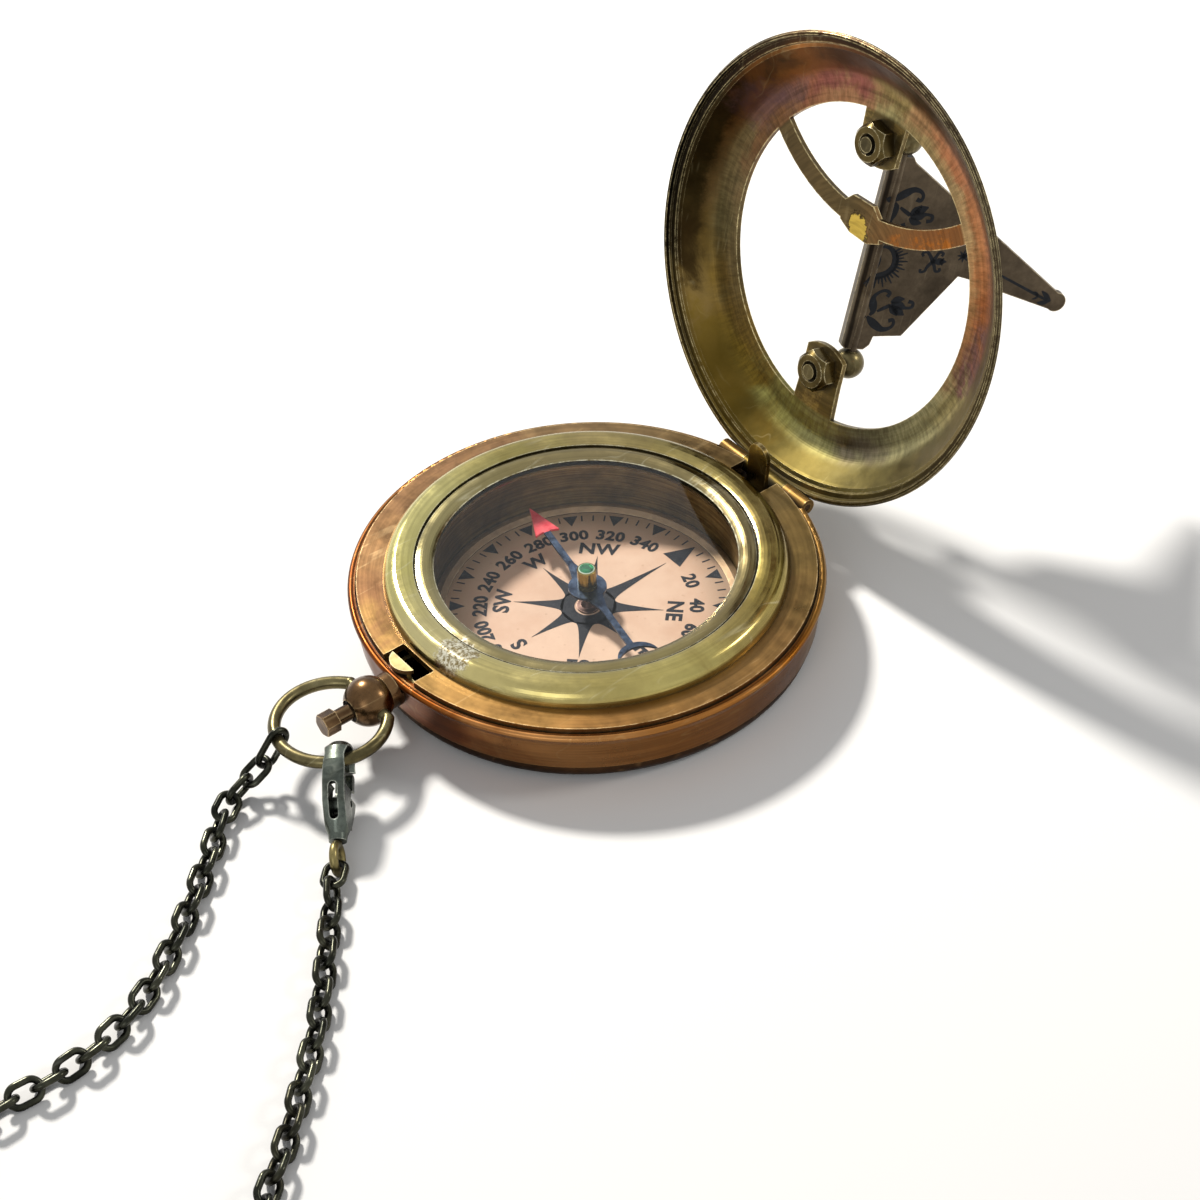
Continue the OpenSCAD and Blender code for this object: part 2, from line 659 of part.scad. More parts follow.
// The gnomon's outline: x runs along the pivot axis to the bow side, y away from the lid
module gnomon_outline() {
    s = gnomon_reach / 35;
    half = post_reach - ball_r - 0.3;
    union() {
        polygon([[-half + 0.6, -2.4], [half - 0.6, -2.4], [half, -1.6], [half, 1.8], [half - 0.9, 2.4],
            [-5.2, 34 * s], [-7.8, 32.6 * s], [-5.3, 23.4 * s], [-3.3, 16.7 * s], [-2.9, 14.7], [-14.2, 7.6],
            [-14.6, 2.8], [-half + 0.9, 2.5], [-half, 1.6], [-half, -1.6]]);
        translate([-6.4, gnomon_reach - 1.7]) circle(r = 1.7, $fn = 48);
    }
}

module gnomon() {
    color("#6f6355") in_gnomon() union() {
        translate([0, 0, -gnomon_t / 2]) linear_extrude(gnomon_t) gnomon_outline();
        pin_x(gnomon_pin_r, post_reach - slip, [0, 0, 0]);
    }
}

// Pendant, button and bow

module pendant_ball() {
    color("#6b4f33") difference() {
        union() {
            translate([0, pendant_y, pendant_z]) rotate([90, 0, 0]) sphere(r = pendant_r);
            translate([0, pendant_y, pendant_z]) rotate([-90, 0, 0]) cylinder(r = stem_r, h = stem_y - pendant_y);
            difference() {
                translate([0, pendant_y + 1, pendant_z]) rotate([-90, 0, 0])
                    cylinder(r = stem_r + 0.7, h = pendant_gap + 0.4);
                cylinder(r = case_r - 0.4, h = far);
                translate([0, 0, case_h - 1.75]) cylinder(r = case_r + 0.02, h = far);
            }
        }
        translate([0, pendant_y - pendant_r - 1, pendant_z]) rotate([-90, 0, 0])
            cylinder(r = rod_r + fit, h = 14);
        translate([0, pendant_y - pendant_r - 1, pendant_z]) rotate([-90, 0, 0])
            cylinder(r = bore_r, h = bore_end_y - pendant_y + pendant_r + 1);
        for (s = [-1, 1]) pin_x(bow_wire_r + fit, 0.9, [s * (pendant_r - 0.8), pendant_y, pendant_z]);
    }
}

// The bush that closes the pendant's bore and traps the button's flange
module pendant_bush() {
    color("#4a3826") translate([0, bush_y, pendant_z]) rotate([-90, 0, 0]) difference() {
        cylinder(r = bore_r - 0.02, h = bush_l, $fn = 48);
        translate([0, 0, -1]) cylinder(r = rod_r + fit, h = bush_l + 2, $fn = 48);
        translate([0, 0, -0.1]) cylinder(r1 = rod_r + 0.5, r2 = rod_r, h = 0.5, $fn = 48);
    }
}

// The button: rod through the pendant and a hexagonal head with a chamfered face
module push_button() {
    color("#5a4a36") translate([0, 0, pendant_z]) rotate([90, 0, 0]) union() {
        translate([0, 0, -rod_in_y]) cylinder(r = rod_r, h = rod_in_y - head_back_y + 0.5, $fn = 48);
        translate([0, 0, -head_back_y]) intersection() {
            rotate([0, 0, 20]) cylinder(d = head_af / cos(30), h = head_l, $fn = 6);
            cylinder(r1 = head_af / 2 + head_l + 0.2, r2 = head_af / 2 - 0.1, h = head_l + 0.2, $fn = 48);
        }
        translate([0, 0, -flange_y - flange_l]) cylinder(r = bore_r - fit, h = flange_l, $fn = 48);
    }
}

// The spring behind the button's flange, drawn at its pressed length
module button_spring() {
    wire = 0.2;
    coil_r = rod_r + 0.28;
    turns = 4;
    steps = 14;
    sides = 6;
    y0 = bore_end_y - wire - 0.02;
    rise = (pressed_y + wire - y0) / turns / steps;
    pts = [for (k = [0:turns * steps], j = [0:sides - 1]) let (a = 360 * k / steps, b = 360 * j / sides,
        r = coil_r + wire * cos(b)) [r * cos(a), y0 + k * rise + wire * sin(b), pendant_z + r * sin(a)]];
    rows = turns * steps;
    side_faces = [for (k = [0:rows - 1], j = [0:sides - 1]) let (n = (j + 1) % sides)
        [k * sides + j, k * sides + n, (k + 1) * sides + n, (k + 1) * sides + j]];
    caps = [[for (j = [sides - 1:-1:0]) j], [for (j = [0:sides - 1]) rows * sides + j]];
    color("#8a8a80") polyhedron(pts, concat(side_faces, caps));
}

// The bow: an open ring of round wire whose ends turn in the ball's sides
module bow_ring() {
    a = atan2(pendant_y - bow_y, bow_half);
    color("#8f7f4a") translate([0, 0, pendant_z]) union() {
        translate([0, bow_y, 0]) rotate([0, 0, 180 - a]) rotate_extrude(angle = 180 + 2 * a, $fn = 128)
            translate([bow_r, 0]) circle(r = bow_wire_r, $fn = 32);
        for (s = [-1, 1]) {
            translate([s * bow_half, pendant_y, 0]) rotate([0, 90, 0]) sphere(r = bow_wire_r + 0.04, $fn = 48);
            translate([s * (bow_half + pendant_r - 1.3) / 2, pendant_y, 0]) rotate([0, 90, 0])
                cylinder(r = bow_wire_r, h = bow_half - pendant_r + 1.3, center = true, $fn = 32);
        }
    }
}

// Chain

// One oval link of round wire, lying in the XY plane along X
module link(length, width, wire_r) {
    bend = width / 2 - wire_r;
    straight = length - width;
    union() {
        for (s = [-1, 1]) {
            translate([s * straight / 2, 0, 0]) rotate([0, 0, s > 0 ? -90 : 90])
                rotate_extrude(angle = 180, $fn = 32) translate([bend, 0]) circle(r = wire_r, $fn = 20);
            translate([0, s * bend, 0]) rotate([0, 90, 0])
                cylinder(r = wire_r, h = straight, center = true, $fn = 20);
        }
    }
}

// Turns the X axis from one point toward another and puts the origin at the first
module aim(p, q, roll) {
    d = q - p;
    translate(p) rotate([0, -atan2(d[2], norm([d[0], d[1]])), atan2(d[1], d[0])]) rotate([roll, 0, 0]) children();
}

// The first link hangs on the bow's wire and leans to the start of the chain's route
module end_link() {
    p = bow_wire_at(end_link_turn);
    color("#3c3a33") aim(p, p + end_link_way, 90) translate([end_link_x, 0, 0])
        link(end_link_l, link_w, link_wire_r);
}

// A smooth curve through four neighbouring points
function between(a, b, c, d, t) = 0.5 * (2 * b + (c - a) * t + (2 * a - 5 * b + 4 * c - d) * t * t
    + (3 * b - a - 3 * c + d) * t * t * t);
function route_point(k) = CHAIN_ROUTE[max(0, min(len(CHAIN_ROUTE) - 1, k))];
route_fine = [for (k = [0:len(CHAIN_ROUTE) - 2], i = [0:9])
    between(route_point(k - 1), route_point(k), route_point(k + 1), route_point(k + 2), i / 10),
    route_point(len(CHAIN_ROUTE) - 1)];
route_gone = [for (i = 0, s = 0; i < len(route_fine);
    s = s + (i + 1 < len(route_fine) ? norm(route_fine[i + 1] - route_fine[i]) : 0), i = i + 1) s];
route_len = route_gone[len(route_gone) - 1];
route_x = [for (i = [0:len(route_fine) - 1]) [route_gone[i], route_fine[i][0]]];
route_y = [for (i = [0:len(route_fine) - 1]) [route_gone[i], route_fine[i][1]]];
route_z = [for (i = [0:len(route_fine) - 1]) [route_gone[i], route_fine[i][2]]];
function on_route(s) = [lookup(s, route_x), lookup(s, route_y), lookup(s, route_z)];
link_count = 2 * ceil((route_len / longest_pitch - 1) / 2) + 1;
link_pitch = route_len / link_count;

module chain_links() {
    color("#4a463b") for (k = [0:link_count - 1]) {
        p = on_route(k * link_pitch);
        q = on_route((k + 1) * link_pitch);
        ease = min(1, k / 4, (link_count - 1 - k) / 3 + 0.2);
        aim((p + q) / 2, q, (k % 2 == 0 ? 0 : 90) - link_roll * ease) link(link_l, link_w, link_wire_r);
    }
}

// Clasp

// Places children in the clasp's frame: origin on the bow's wire, x to the tail, y to the lever's side
module in_clasp() {
    translate(bow_wire_at(clasp_turn)) rotate([0, clasp_pitch, clasp_yaw]) rotate([clasp_roll, 0, 0])
        scale(clasp_grow) children();
}

hook_in = bow_wire_r / clasp_grow + 1.3;
hook_x = 0.95;
lever_pin_x = 5.6;
lever_pin_y = 0.6;

// The hollow of the hook, long enough for the lever to swing through
module hook_hollow() {
    union() {
        translate([hook_x, 0]) circle(r = hook_in, $fn = 48);
        translate([hook_x, -hook_in]) square([3, 2 * hook_in]);
    }
}

// The gap that the lever closes
module gate_gap() {
    translate([hook_x - 0.2, 0]) square([4.2, clasp_r + 2]);
}

module clasp_body() {
    spindle = [[-hook_in - 1.3 + hook_x, 0], [-hook_in - 1 + hook_x, 1.2], [-1.2, 2.3], [0.8, clasp_r - 0.1],
        [3.4, clasp_r], [6, clasp_r - 0.3], [8.2, clasp_r - 1.1], [9.8, 1.2], [clasp_l, 1.1], [clasp_l, 0]];
    color("#5b5a54") in_clasp() difference() {
        intersection() {
            rotate([0, 90, 0]) rotate_extrude($fn = 64) polygon([for (p = spindle) [p[1], p[0]]]);
            cube([far, far, clasp_t], center = true);
        }
        translate([0, 0, -far / 2]) linear_extrude(far) union() {
            hook_hollow();
            gate_gap();
        }
        for (s = [-1, 1]) translate([hook_x, 0, s * (clasp_t / 2 - 0.75)]) rotate([s > 0 ? 0 : 180, 0, 0])
            cylinder(r1 = hook_in - 0.01, r2 = hook_in + 0.7, h = 1, $fn = 48);
        translate([3.4, -0.7, -0.8]) cube([5, clasp_r + 2, 1.6]);
        // the slot cast through the back
        for (x = [4.4, 7.8]) translate([x, 0, 0]) rotate([90, 0, 0])
            cylinder(r = 0.55, h = clasp_r + 1, $fn = 32);
        translate([4.4, -clasp_r - 1, -0.55]) cube([3.4, clasp_r + 1, 1.1]);
        translate([lever_pin_x, lever_pin_y, 0]) cylinder(r = 0.45, h = far, center = true, $fn = 32);
        translate([clasp_l - 1.4, 0, 0]) rotate([0, 90, 0]) cylinder(r = 0.45 + fit, h = 4, $fn = 32);
    }
}

// The sprung lever: a gate that meets the hook's nose, and a thumb tab at the other end
module clasp_lever() {
    color("#6a6860") in_clasp() difference() {
        union() {
            translate([0, 0, -0.7]) linear_extrude(1.4) union() {
                translate([lever_pin_x, lever_pin_y]) circle(r = 1.1, $fn = 32);
                polygon([[3.2, 1.9], [lever_pin_x - 0.9, 0.1], [lever_pin_x + 0.9, 0.9], [7.6, 2.5], [7.9, 3.4],
                    [7.1, 3.5], [5.8, 2.7], [3.2, 2.75]]);
            }
            translate([0, 0, -1.1]) linear_extrude(2.2)
                polygon([[1.15, 1.9], [3.3, 1.9], [3.3, 2.75], [1.4, 2.75], [1.15, 2.5]]);
        }
        translate([lever_pin_x, lever_pin_y, 0]) cylinder(r = 0.4 + fit, h = far, center = true, $fn = 32);
    }
}

module clasp_pin() {
    color("#8a8a80") in_clasp() translate([lever_pin_x, lever_pin_y, 0])
        cylinder(r = 0.4, h = clasp_t - 0.4, center = true, $fn = 32);
}

// The swivel eye in the clasp's tail
module clasp_eye() {
    color("#7a6a3c") in_clasp() union() {
        translate([clasp_l - 1, 0, 0]) rotate([0, 90, 0]) cylinder(r = 0.45, h = 1.2, $fn = 32);
        translate([eye_x, 0, 0]) rotate_extrude($fn = 48) translate([eye_r, 0]) circle(r = eye_wire_r, $fn = 24);
    }
}

back_cover();
case_band();
ledge_ring();
bezel();
glass();
glass_ring();
compass_well();
dial_plate();
dial_ring();
pivot_base();
pivot_pin();
needle();
needle_cap();
needle_jewel();
lift_spring();
lift_spring_screw();
catch_spring();
catch_spring_screw();
hinge_pin();
lid();
gnomon();
gnomon_post_north();
gnomon_post_south();
post_nuts();
pendant_ball();
pendant_bush();
push_button();
button_spring();
bow_ring();
end_link();
clasp_body();
clasp_lever();
clasp_pin();
clasp_eye();
chain_links();
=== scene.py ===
import math

import bpy
import numpy as np
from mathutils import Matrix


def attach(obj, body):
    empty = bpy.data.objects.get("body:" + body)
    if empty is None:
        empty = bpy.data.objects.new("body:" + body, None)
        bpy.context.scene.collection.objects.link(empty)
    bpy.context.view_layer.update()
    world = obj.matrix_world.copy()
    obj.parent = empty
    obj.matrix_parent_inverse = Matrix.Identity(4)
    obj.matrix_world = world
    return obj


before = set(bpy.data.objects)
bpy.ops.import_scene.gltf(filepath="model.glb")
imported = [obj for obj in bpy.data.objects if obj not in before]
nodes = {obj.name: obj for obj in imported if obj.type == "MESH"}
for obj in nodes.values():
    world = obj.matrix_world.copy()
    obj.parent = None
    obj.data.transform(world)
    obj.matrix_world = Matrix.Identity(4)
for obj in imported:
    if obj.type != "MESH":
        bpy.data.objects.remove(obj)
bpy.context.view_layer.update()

mm = 0.001


# Short names for the shader nodes that everything below is made with

def setSocket(tree, socket, value):
    # a link from another socket, a colour with full alpha, or a plain value
    if isinstance(value, bpy.types.NodeSocket):
        tree.links.new(value, socket)
    elif socket.type == "RGBA":
        socket.default_value = (*value[:3], 1)
    else:
        socket.default_value = value


def setInputs(tree, node, inputs):
    for key, value in inputs.items():
        setSocket(tree, node.inputs[key], value)


def addNode(tree, kind, inputs=None, **settings):
    node = tree.nodes.new("ShaderNode" + kind)
    for key, value in settings.items():
        setattr(node, key, value)
    setInputs(tree, node, inputs or {})
    return node


def mathNode(tree, operation, first, second=0.0, clamp=False):
    return addNode(tree, "Math", {0: first, 1: second}, operation=operation, use_clamp=clamp).outputs[0]


def added(tree, first, second, clamp=False):
    return mathNode(tree, "ADD", first, second, clamp)


def less(tree, first, second):
    return mathNode(tree, "SUBTRACT", first, second)


def product(tree, first, second, clamp=False):
    return mathNode(tree, "MULTIPLY", first, second, clamp)


def vectorMath(tree, operation, first, second=(0.0, 0.0, 0.0), output="Value"):
    return addNode(tree, "VectorMath", {0: first, 1: second}, operation=operation).outputs[output]


def smoothStep(tree, value, low, high, out=(0.0, 1.0)):
    return addNode(tree, "MapRange", {"Value": value, "From Min": low, "From Max": high, "To Min": out[0],
                                      "To Max": out[1]}, interpolation_type="SMOOTHSTEP").outputs["Result"]


def noise(tree, vector, scale, detail, roughness=0.5, distortion=0.0):
    # a name that ends in Noise holds these values in this order
    return addNode(tree, "TexNoise", {"Vector": vector, "Scale": scale, "Detail": detail,
                                      "Roughness": roughness, "Distortion": distortion}).outputs["Fac"]


def mixColour(tree, factor, low, high, mode="MIX"):
    return addNode(tree, "Mix", {"Factor": factor, "A": low, "B": high}, data_type="RGBA",
                   blend_type=mode).outputs["Result"]


def shaded(tree, colour, level):
    # a colour times a level, which is a number or a socket
    grey = (level,) * 3
    if isinstance(level, bpy.types.NodeSocket):
        grey = addNode(tree, "CombineColor", {0: level, 1: level, 2: level}).outputs[0]
    return mixColour(tree, 1.0, colour, grey, "MULTIPLY")


def distanceTo(tree, vector, place):
    # how far a point is from a place that is given in mm
    return vectorMath(tree, "DISTANCE", vector, tuple(value * mm for value in place))


def roundAxis(tree, vector):
    # a point's parts, the same point at no height, and its distance from the Z axis
    split = addNode(tree, "SeparateXYZ", {"Vector": vector}).outputs
    flat = addNode(tree, "CombineXYZ", {"X": split["X"], "Y": split["Y"]}).outputs["Vector"]
    return split, flat, vectorMath(tree, "LENGTH", flat)


def ringCoordinates(tree, flat, turns, height):
    # a place for noise that runs round the axis and has its own height
    unit = vectorMath(tree, "NORMALIZE", flat, output="Vector")
    ring = addNode(tree, "VectorMath", {0: unit, "Scale": turns}, operation="SCALE").outputs["Vector"]
    split = addNode(tree, "SeparateXYZ", {"Vector": ring}).outputs
    return addNode(tree, "CombineXYZ", {"X": split["X"], "Y": split["Y"], "Z": height}).outputs["Vector"]


def newMaterial(name):
    material = bpy.data.materials.new(name)
    material.use_nodes = True
    tree = material.node_tree
    return material, tree, tree.nodes["Principled BSDF"], addNode(tree, "TexCoord").outputs["Object"]


def linear(red, green, blue):
    # a screen colour from 0 to 255 to scene light
    values = np.array([red, green, blue]) / 255
    return tuple(np.where(values <= 0.04045, values / 12.92, ((values + 0.055) / 1.055) ** 2.4))


# Camera, floor and light

cameraView = {
    "place": (0.26359, -0.19106, 0.29750),
    "turn": (47.900, 1.989, 51.932),      # degrees about X, Y and Z
    "fieldOfView": 24.728,
    "sensor": 36,
    "clip": (0.01, 20),
}

studio = {
    "floorColour": (0.86, 0.85, 0.83), "floorHalf": 1.6, "floorRoughness": 0.9, "floorSpecular": 0.1,
    "worldColour": (0.95, 0.97, 1.0), "worldLevel": 0.3,
    "target": (0.0, 0.01, 0.02),
    # name, place, size, power and colour; the key is high on the far left, so the bezel shades the far dial
    "lamps": [
        ("keyLamp", (-0.57, 0.05, 0.51), 0.10, 8.6, (1.0, 0.97, 0.92)),
        ("rimLamp", (0.30, 0.44, 0.40), 0.14, 0.8, (1.0, 0.98, 0.95)),
        ("fillLamp", (0.30, -0.50, 0.30), 0.34, 0.6, (0.95, 0.97, 1.0)),
    ],
}


def makeCamera():
    data = bpy.data.cameras.new("camera")
    data.sensor_fit = "HORIZONTAL"
    data.sensor_width = cameraView["sensor"]
    data.lens = cameraView["sensor"] / 2 / math.tan(math.radians(cameraView["fieldOfView"]) / 2)
    data.clip_start, data.clip_end = cameraView["clip"]
    camera = bpy.data.objects.new("camera", data)
    camera.location = cameraView["place"]
    camera.rotation_euler = [math.radians(angle) for angle in cameraView["turn"]]
    bpy.context.scene.collection.objects.link(camera)
    bpy.context.scene.camera = camera


def makeLamp(name, place, size, power, colour):
    data = bpy.data.lights.new(name, "AREA")
    data.shape = "DISK"
    data.size = size
    data.energy = power
    data.color = colour
    lamp = bpy.data.objects.new(name, data)
    bpy.context.scene.collection.objects.link(lamp)
    lamp.location = place
    x, y, z = [t - p for t, p in zip(studio["target"], place)]
    lamp.rotation_euler = (math.atan2(math.hypot(x, y), -z), 0, math.atan2(y, x) - math.pi / 2)


def makeFloor():
    # a flat square at the ground
    half = studio["floorHalf"]
    mesh = bpy.data.meshes.new("floor")
    corners = [(-half, -half, 0), (half, -half, 0), (half, half, 0), (-half, half, 0)]
    mesh.from_pydata(corners, [], [(0, 1, 2, 3)])
    floor = bpy.data.objects.new("floor", mesh)
    bpy.context.scene.collection.objects.link(floor)
    material = bpy.data.materials.new("floorPaper")
    material.use_nodes = True
    setInputs(material.node_tree, material.node_tree.nodes["Principled BSDF"], {
        "Base Color": studio["floorColour"], "Roughness": studio["floorRoughness"],
        "Specular IOR Level": studio["floorSpecular"]})
    mesh.materials.append(material)


def makeWorld():
    # white to the camera, in reflections and through glass, and a dim light on everything else
    world = bpy.data.worlds.new("studioWorld")
    world.use_nodes = True
    bpy.context.scene.world = world
    tree = world.node_tree
    path = addNode(tree, "LightPath").outputs
    seen = mathNode(tree, "MAXIMUM", path["Is Camera Ray"], path["Is Transmission Ray"])
    seen = mathNode(tree, "MAXIMUM", seen, path["Is Glossy Ray"])
    level = addNode(tree, "MapRange", {"Value": seen, "To Min": studio["worldLevel"], "To Max": 1.0})
    setInputs(tree, tree.nodes["Background"], {"Color": studio["worldColour"],
                                               "Strength": level.outputs["Result"]})
    bpy.context.scene.view_settings.view_transform = "Standard"


makeCamera()
makeFloor()
makeWorld()
for lampRow in studio["lamps"]:
    makeLamp(*lampRow)
print("camera and studio made")


# The lid's own frame, as the solids have it

lidShape = {      # degrees and mm
    "open": 106.0, "hingeY": 37.3, "hingeZ": 9.5, "rimZ": 10.4, "middle": 7, "pivot": 12.2, "shift": 1.6,
    "lean": 25.0,
}


def turnX(points, angle):
    c, s = math.cos(math.radians(angle)), math.sin(math.radians(angle))
    x, y, z = points.T
    return np.stack([x, c * y - s * z, s * y + c * z], 1)


def turnY(points, angle):
    c, s = math.cos(math.radians(angle)), math.sin(math.radians(angle))
    x, y, z = points.T
    return np.stack([c * x + s * z, y, c * z - s * x], 1)


def fromLid(points):
    # closed lid coordinates (x, y, height over the rim) to the row frame, in mm
    points = np.asarray(points, float) - [0, lidShape["hingeY"], lidShape["hingeZ"] - lidShape["rimZ"]]
    return turnX(points, -lidShape["open"]) + [0, lidShape["hingeY"], lidShape["hingeZ"]]


def fromGnomon(points):
    # gnomon coordinates (along the pivot to the bow side, away from it, across the plate) to the row frame
    x, y, z = np.asarray(points, float).T
    turned = turnY(np.stack([-z, -x, y], 1), lidShape["lean"])
    return fromLid(turned + [0, -lidShape["shift"], lidShape["pivot"]])


lidCentre = tuple(fromLid([[0, 0, lidShape["middle"]]])[0] * mm)
print("lid centre", lidCentre)


def lidCoordinates(tree, vector):
    # the open lid's own frame: its centre at the origin, its outward side +Z
    shifted = vectorMath(tree, "SUBTRACT", vector, lidCentre, "Vector")
    turn = {"Vector": shifted, "Axis": (1, 0, 0), "Angle": math.radians(lidShape["open"])}
    return addNode(tree, "VectorRotate", turn, rotation_type="AXIS_ANGLE").outputs["Vector"]


# Shader groups that several finishes share

def newGroup(name, inputs, outputs):
    # an input with no value is a vector, one with a tuple is a colour, and any other is a number
    tree = bpy.data.node_groups.new(name, "ShaderNodeTree")
    for label, value in inputs.items():
        kind = "Vector" if value is None else "Color" if isinstance(value, tuple) else "Float"
        socket = tree.interface.new_socket(label, in_out="INPUT", socket_type="NodeSocket" + kind)
        if value is not None:
            socket.default_value = value
    for label, kind in outputs.items():
        tree.interface.new_socket(label, in_out="OUTPUT", socket_type="NodeSocket" + kind)
    return tree, tree.nodes.new("NodeGroupInput").outputs, tree.nodes.new("NodeGroupOutput")


patinaShape = {
    "tones": (0.3, 0.7), "wideNoise": (5.0, 0.62, 0.4),
    "finer": 9.0, "fineNoise": (4.0, 0.7), "fineRange": (0.25, 0.75), "fineShade": (0.82, 1.14),
    "wider": 0.45, "stainNoise": (8.0, 0.7, 1.2), "stainRange": (0.5, 0.68),
}


def makePatinaGroup():
    # two tones mixed by wide noise and shaded by fine noise, and a stain that comes in wide soft patches
    shape = patinaShape
    tree, start, end = newGroup(
        "patina", {"Vector": None, "Scale": 60.0, "Low": (0.2, 0.12, 0.05, 1), "High": (0.5, 0.35, 0.15, 1),
                   "Stain": (0.1, 0.06, 0.04, 1), "Stain Amount": 0.5},
        {"Color": "Color", "Mask": "Float"})
    wide = noise(tree, start["Vector"], start["Scale"], *shape["wideNoise"])
    base = mixColour(tree, smoothStep(tree, wide, *shape["tones"]), start["Low"], start["High"])
    fine = noise(tree, start["Vector"], product(tree, start["Scale"], shape["finer"]), *shape["fineNoise"])
    base = shaded(tree, base, smoothStep(tree, fine, *shape["fineRange"], shape["fineShade"]))
    spread = noise(tree, start["Vector"], product(tree, start["Scale"], shape["wider"]), *shape["stainNoise"])
    mask = product(tree, smoothStep(tree, spread, *shape["stainRange"]), start["Stain Amount"], True)
    setInputs(tree, end, {"Color": mixColour(tree, mask, base, start["Stain"]), "Mask": mask})
    return tree


wearShape = {
    "grainNoise": (900.0, 4.0, 0.7), "corner": (0.01, 0.12), "broken": (0.3, 0.62), "open": (0.55, 0.95),
    "hidden": (0.25, 0.85), "bevelRays": 6, "skyRays": 8, "patchy": (0.2, 0.7), "patchShade": (0.6, 1.1),
}


def makeWearGroup():
    # bright where a corner stands out, and grime with painted shade where pieces meet: bevelled normals and
    # close occlusion
    shape = wearShape
    tree, start, end = newGroup("edgeWear", {"Radius": 0.0004, "Reach": 0.002, "Vector": None},
                                {"Edge": "Float", "DirtAndShade": "Float"})
    bevel = addNode(tree, "Bevel", {"Radius": start["Radius"]}, samples=shape["bevelRays"]).outputs["Normal"]
    normal = addNode(tree, "NewGeometry").outputs["Normal"]
    turned = less(tree, 1.0, vectorMath(tree, "DOT_PRODUCT", bevel, normal))
    grain = noise(tree, start["Vector"], *shape["grainNoise"])
    sky = addNode(tree, "AmbientOcclusion", {"Distance": start["Reach"]}, samples=shape["skyRays"])
    sky = sky.outputs["AO"]
    edge = smoothStep(tree, turned, *shape["corner"])
    edge = product(tree, edge, smoothStep(tree, grain, *shape["broken"]))
    edge = product(tree, edge, smoothStep(tree, sky, *shape["open"]), True)
    hollowShadeDirt = less(tree, 1.0, smoothStep(tree, sky, *shape["hidden"]))
    hollowShadeDirt = product(tree, hollowShadeDirt, smoothStep(tree, grain, *shape["patchy"], shape["patchShade"]), True)
    setInputs(tree, end, {"Edge": edge, "DirtAndShade": hollowShadeDirt})
    return tree


turnedNoise = (1.0, 3.0, 0.6)


def makeTurnedGroup():
    # turning marks: noise that changes fast with the distance from the axis and slowly round it
    tree, start, end = newGroup("turnedMarks", {"Vector": None, "Rings": 2600.0, "Turns": 1.6},
                                {"Height": "Float"})
    split, flat, radius = roundAxis(tree, start["Vector"])
    ringed = product(tree, added(tree, radius, split["Z"]), start["Rings"])
    place = ringCoordinates(tree, flat, start["Turns"], ringed)
    setInputs(tree, end, {"Height": noise(tree, place, *turnedNoise)})
    return tree


scratchShape = {
    "turns": (20.0, 75.0, 138.0), "tilt": (0.3, 0.2), "squeeze": 0.035, "detail": 2.0, "width": 0.012,
    "gateScale": 45.0, "gate": (0.52, 0.66),
}


def makeScratchGroup():
    # long thin scratches: stretched noise at three turns, kept only near its crossing value
    shape = scratchShape
    tree, start, end = newGroup("scratches", {"Vector": None, "Scale": 140.0}, {"Mask": "Float"})
    mask = 0.0
    for turn in shape["turns"]:
        mapped = addNode(tree, "Mapping", {
            "Vector": start["Vector"], "Rotation": (*shape["tilt"], math.radians(turn)),
            "Scale": (1.0, shape["squeeze"], 1.0)})
        lines = noise(tree, mapped.outputs["Vector"], start["Scale"], shape["detail"])
        near = mathNode(tree, "ABSOLUTE", less(tree, lines, 0.5))
        line = smoothStep(tree, near, 0.0, shape["width"], (1.0, 0.0))
        gate = noise(tree, start["Vector"], shape["gateScale"] + turn, shape["detail"])
        line = product(tree, line, smoothStep(tree, gate, *shape["gate"]))
        mask = mathNode(tree, "MAXIMUM", mask, line)
    setInputs(tree, end, {"Mask": mask})
    return tree


pitShape = {
    "cell": (0.12, 0.42), "gateNoise": (120.0, 5.0, 0.65), "gateLow": 0.78, "gateDrop": 0.32,
    "gateHigh": 0.8,
}


def makePitGroup():
    # pits and stains of corrosion: cells gated by noise
    shape = pitShape
    tree, start, end = newGroup("pits", {"Vector": None, "Scale": 900.0, "Amount": 0.4}, {"Mask": "Float"})
    cells = addNode(tree, "TexVoronoi", {"Vector": start["Vector"], "Scale": start["Scale"]})
    near = smoothStep(tree, cells.outputs["Distance"], *shape["cell"], (1.0, 0.0))
    gate = noise(tree, start["Vector"], *shape["gateNoise"])
    level = less(tree, shape["gateLow"], product(tree, start["Amount"], shape["gateDrop"]))
    gate = addNode(tree, "MapRange", {"Value": gate, "From Min": level, "From Max": shape["gateHigh"]})
    setInputs(tree, end, {"Mask": product(tree, near, gate.outputs["Result"], True)})
    return tree


clockShape = {
    "waverNoise": (90.0, 6.0, 0.65, 0.6), "waverGain": 4.0, "spokes": 26.0, "streakLength": 220.0,
    "streakNoise": (1.6, 5.0, 0.7),
}


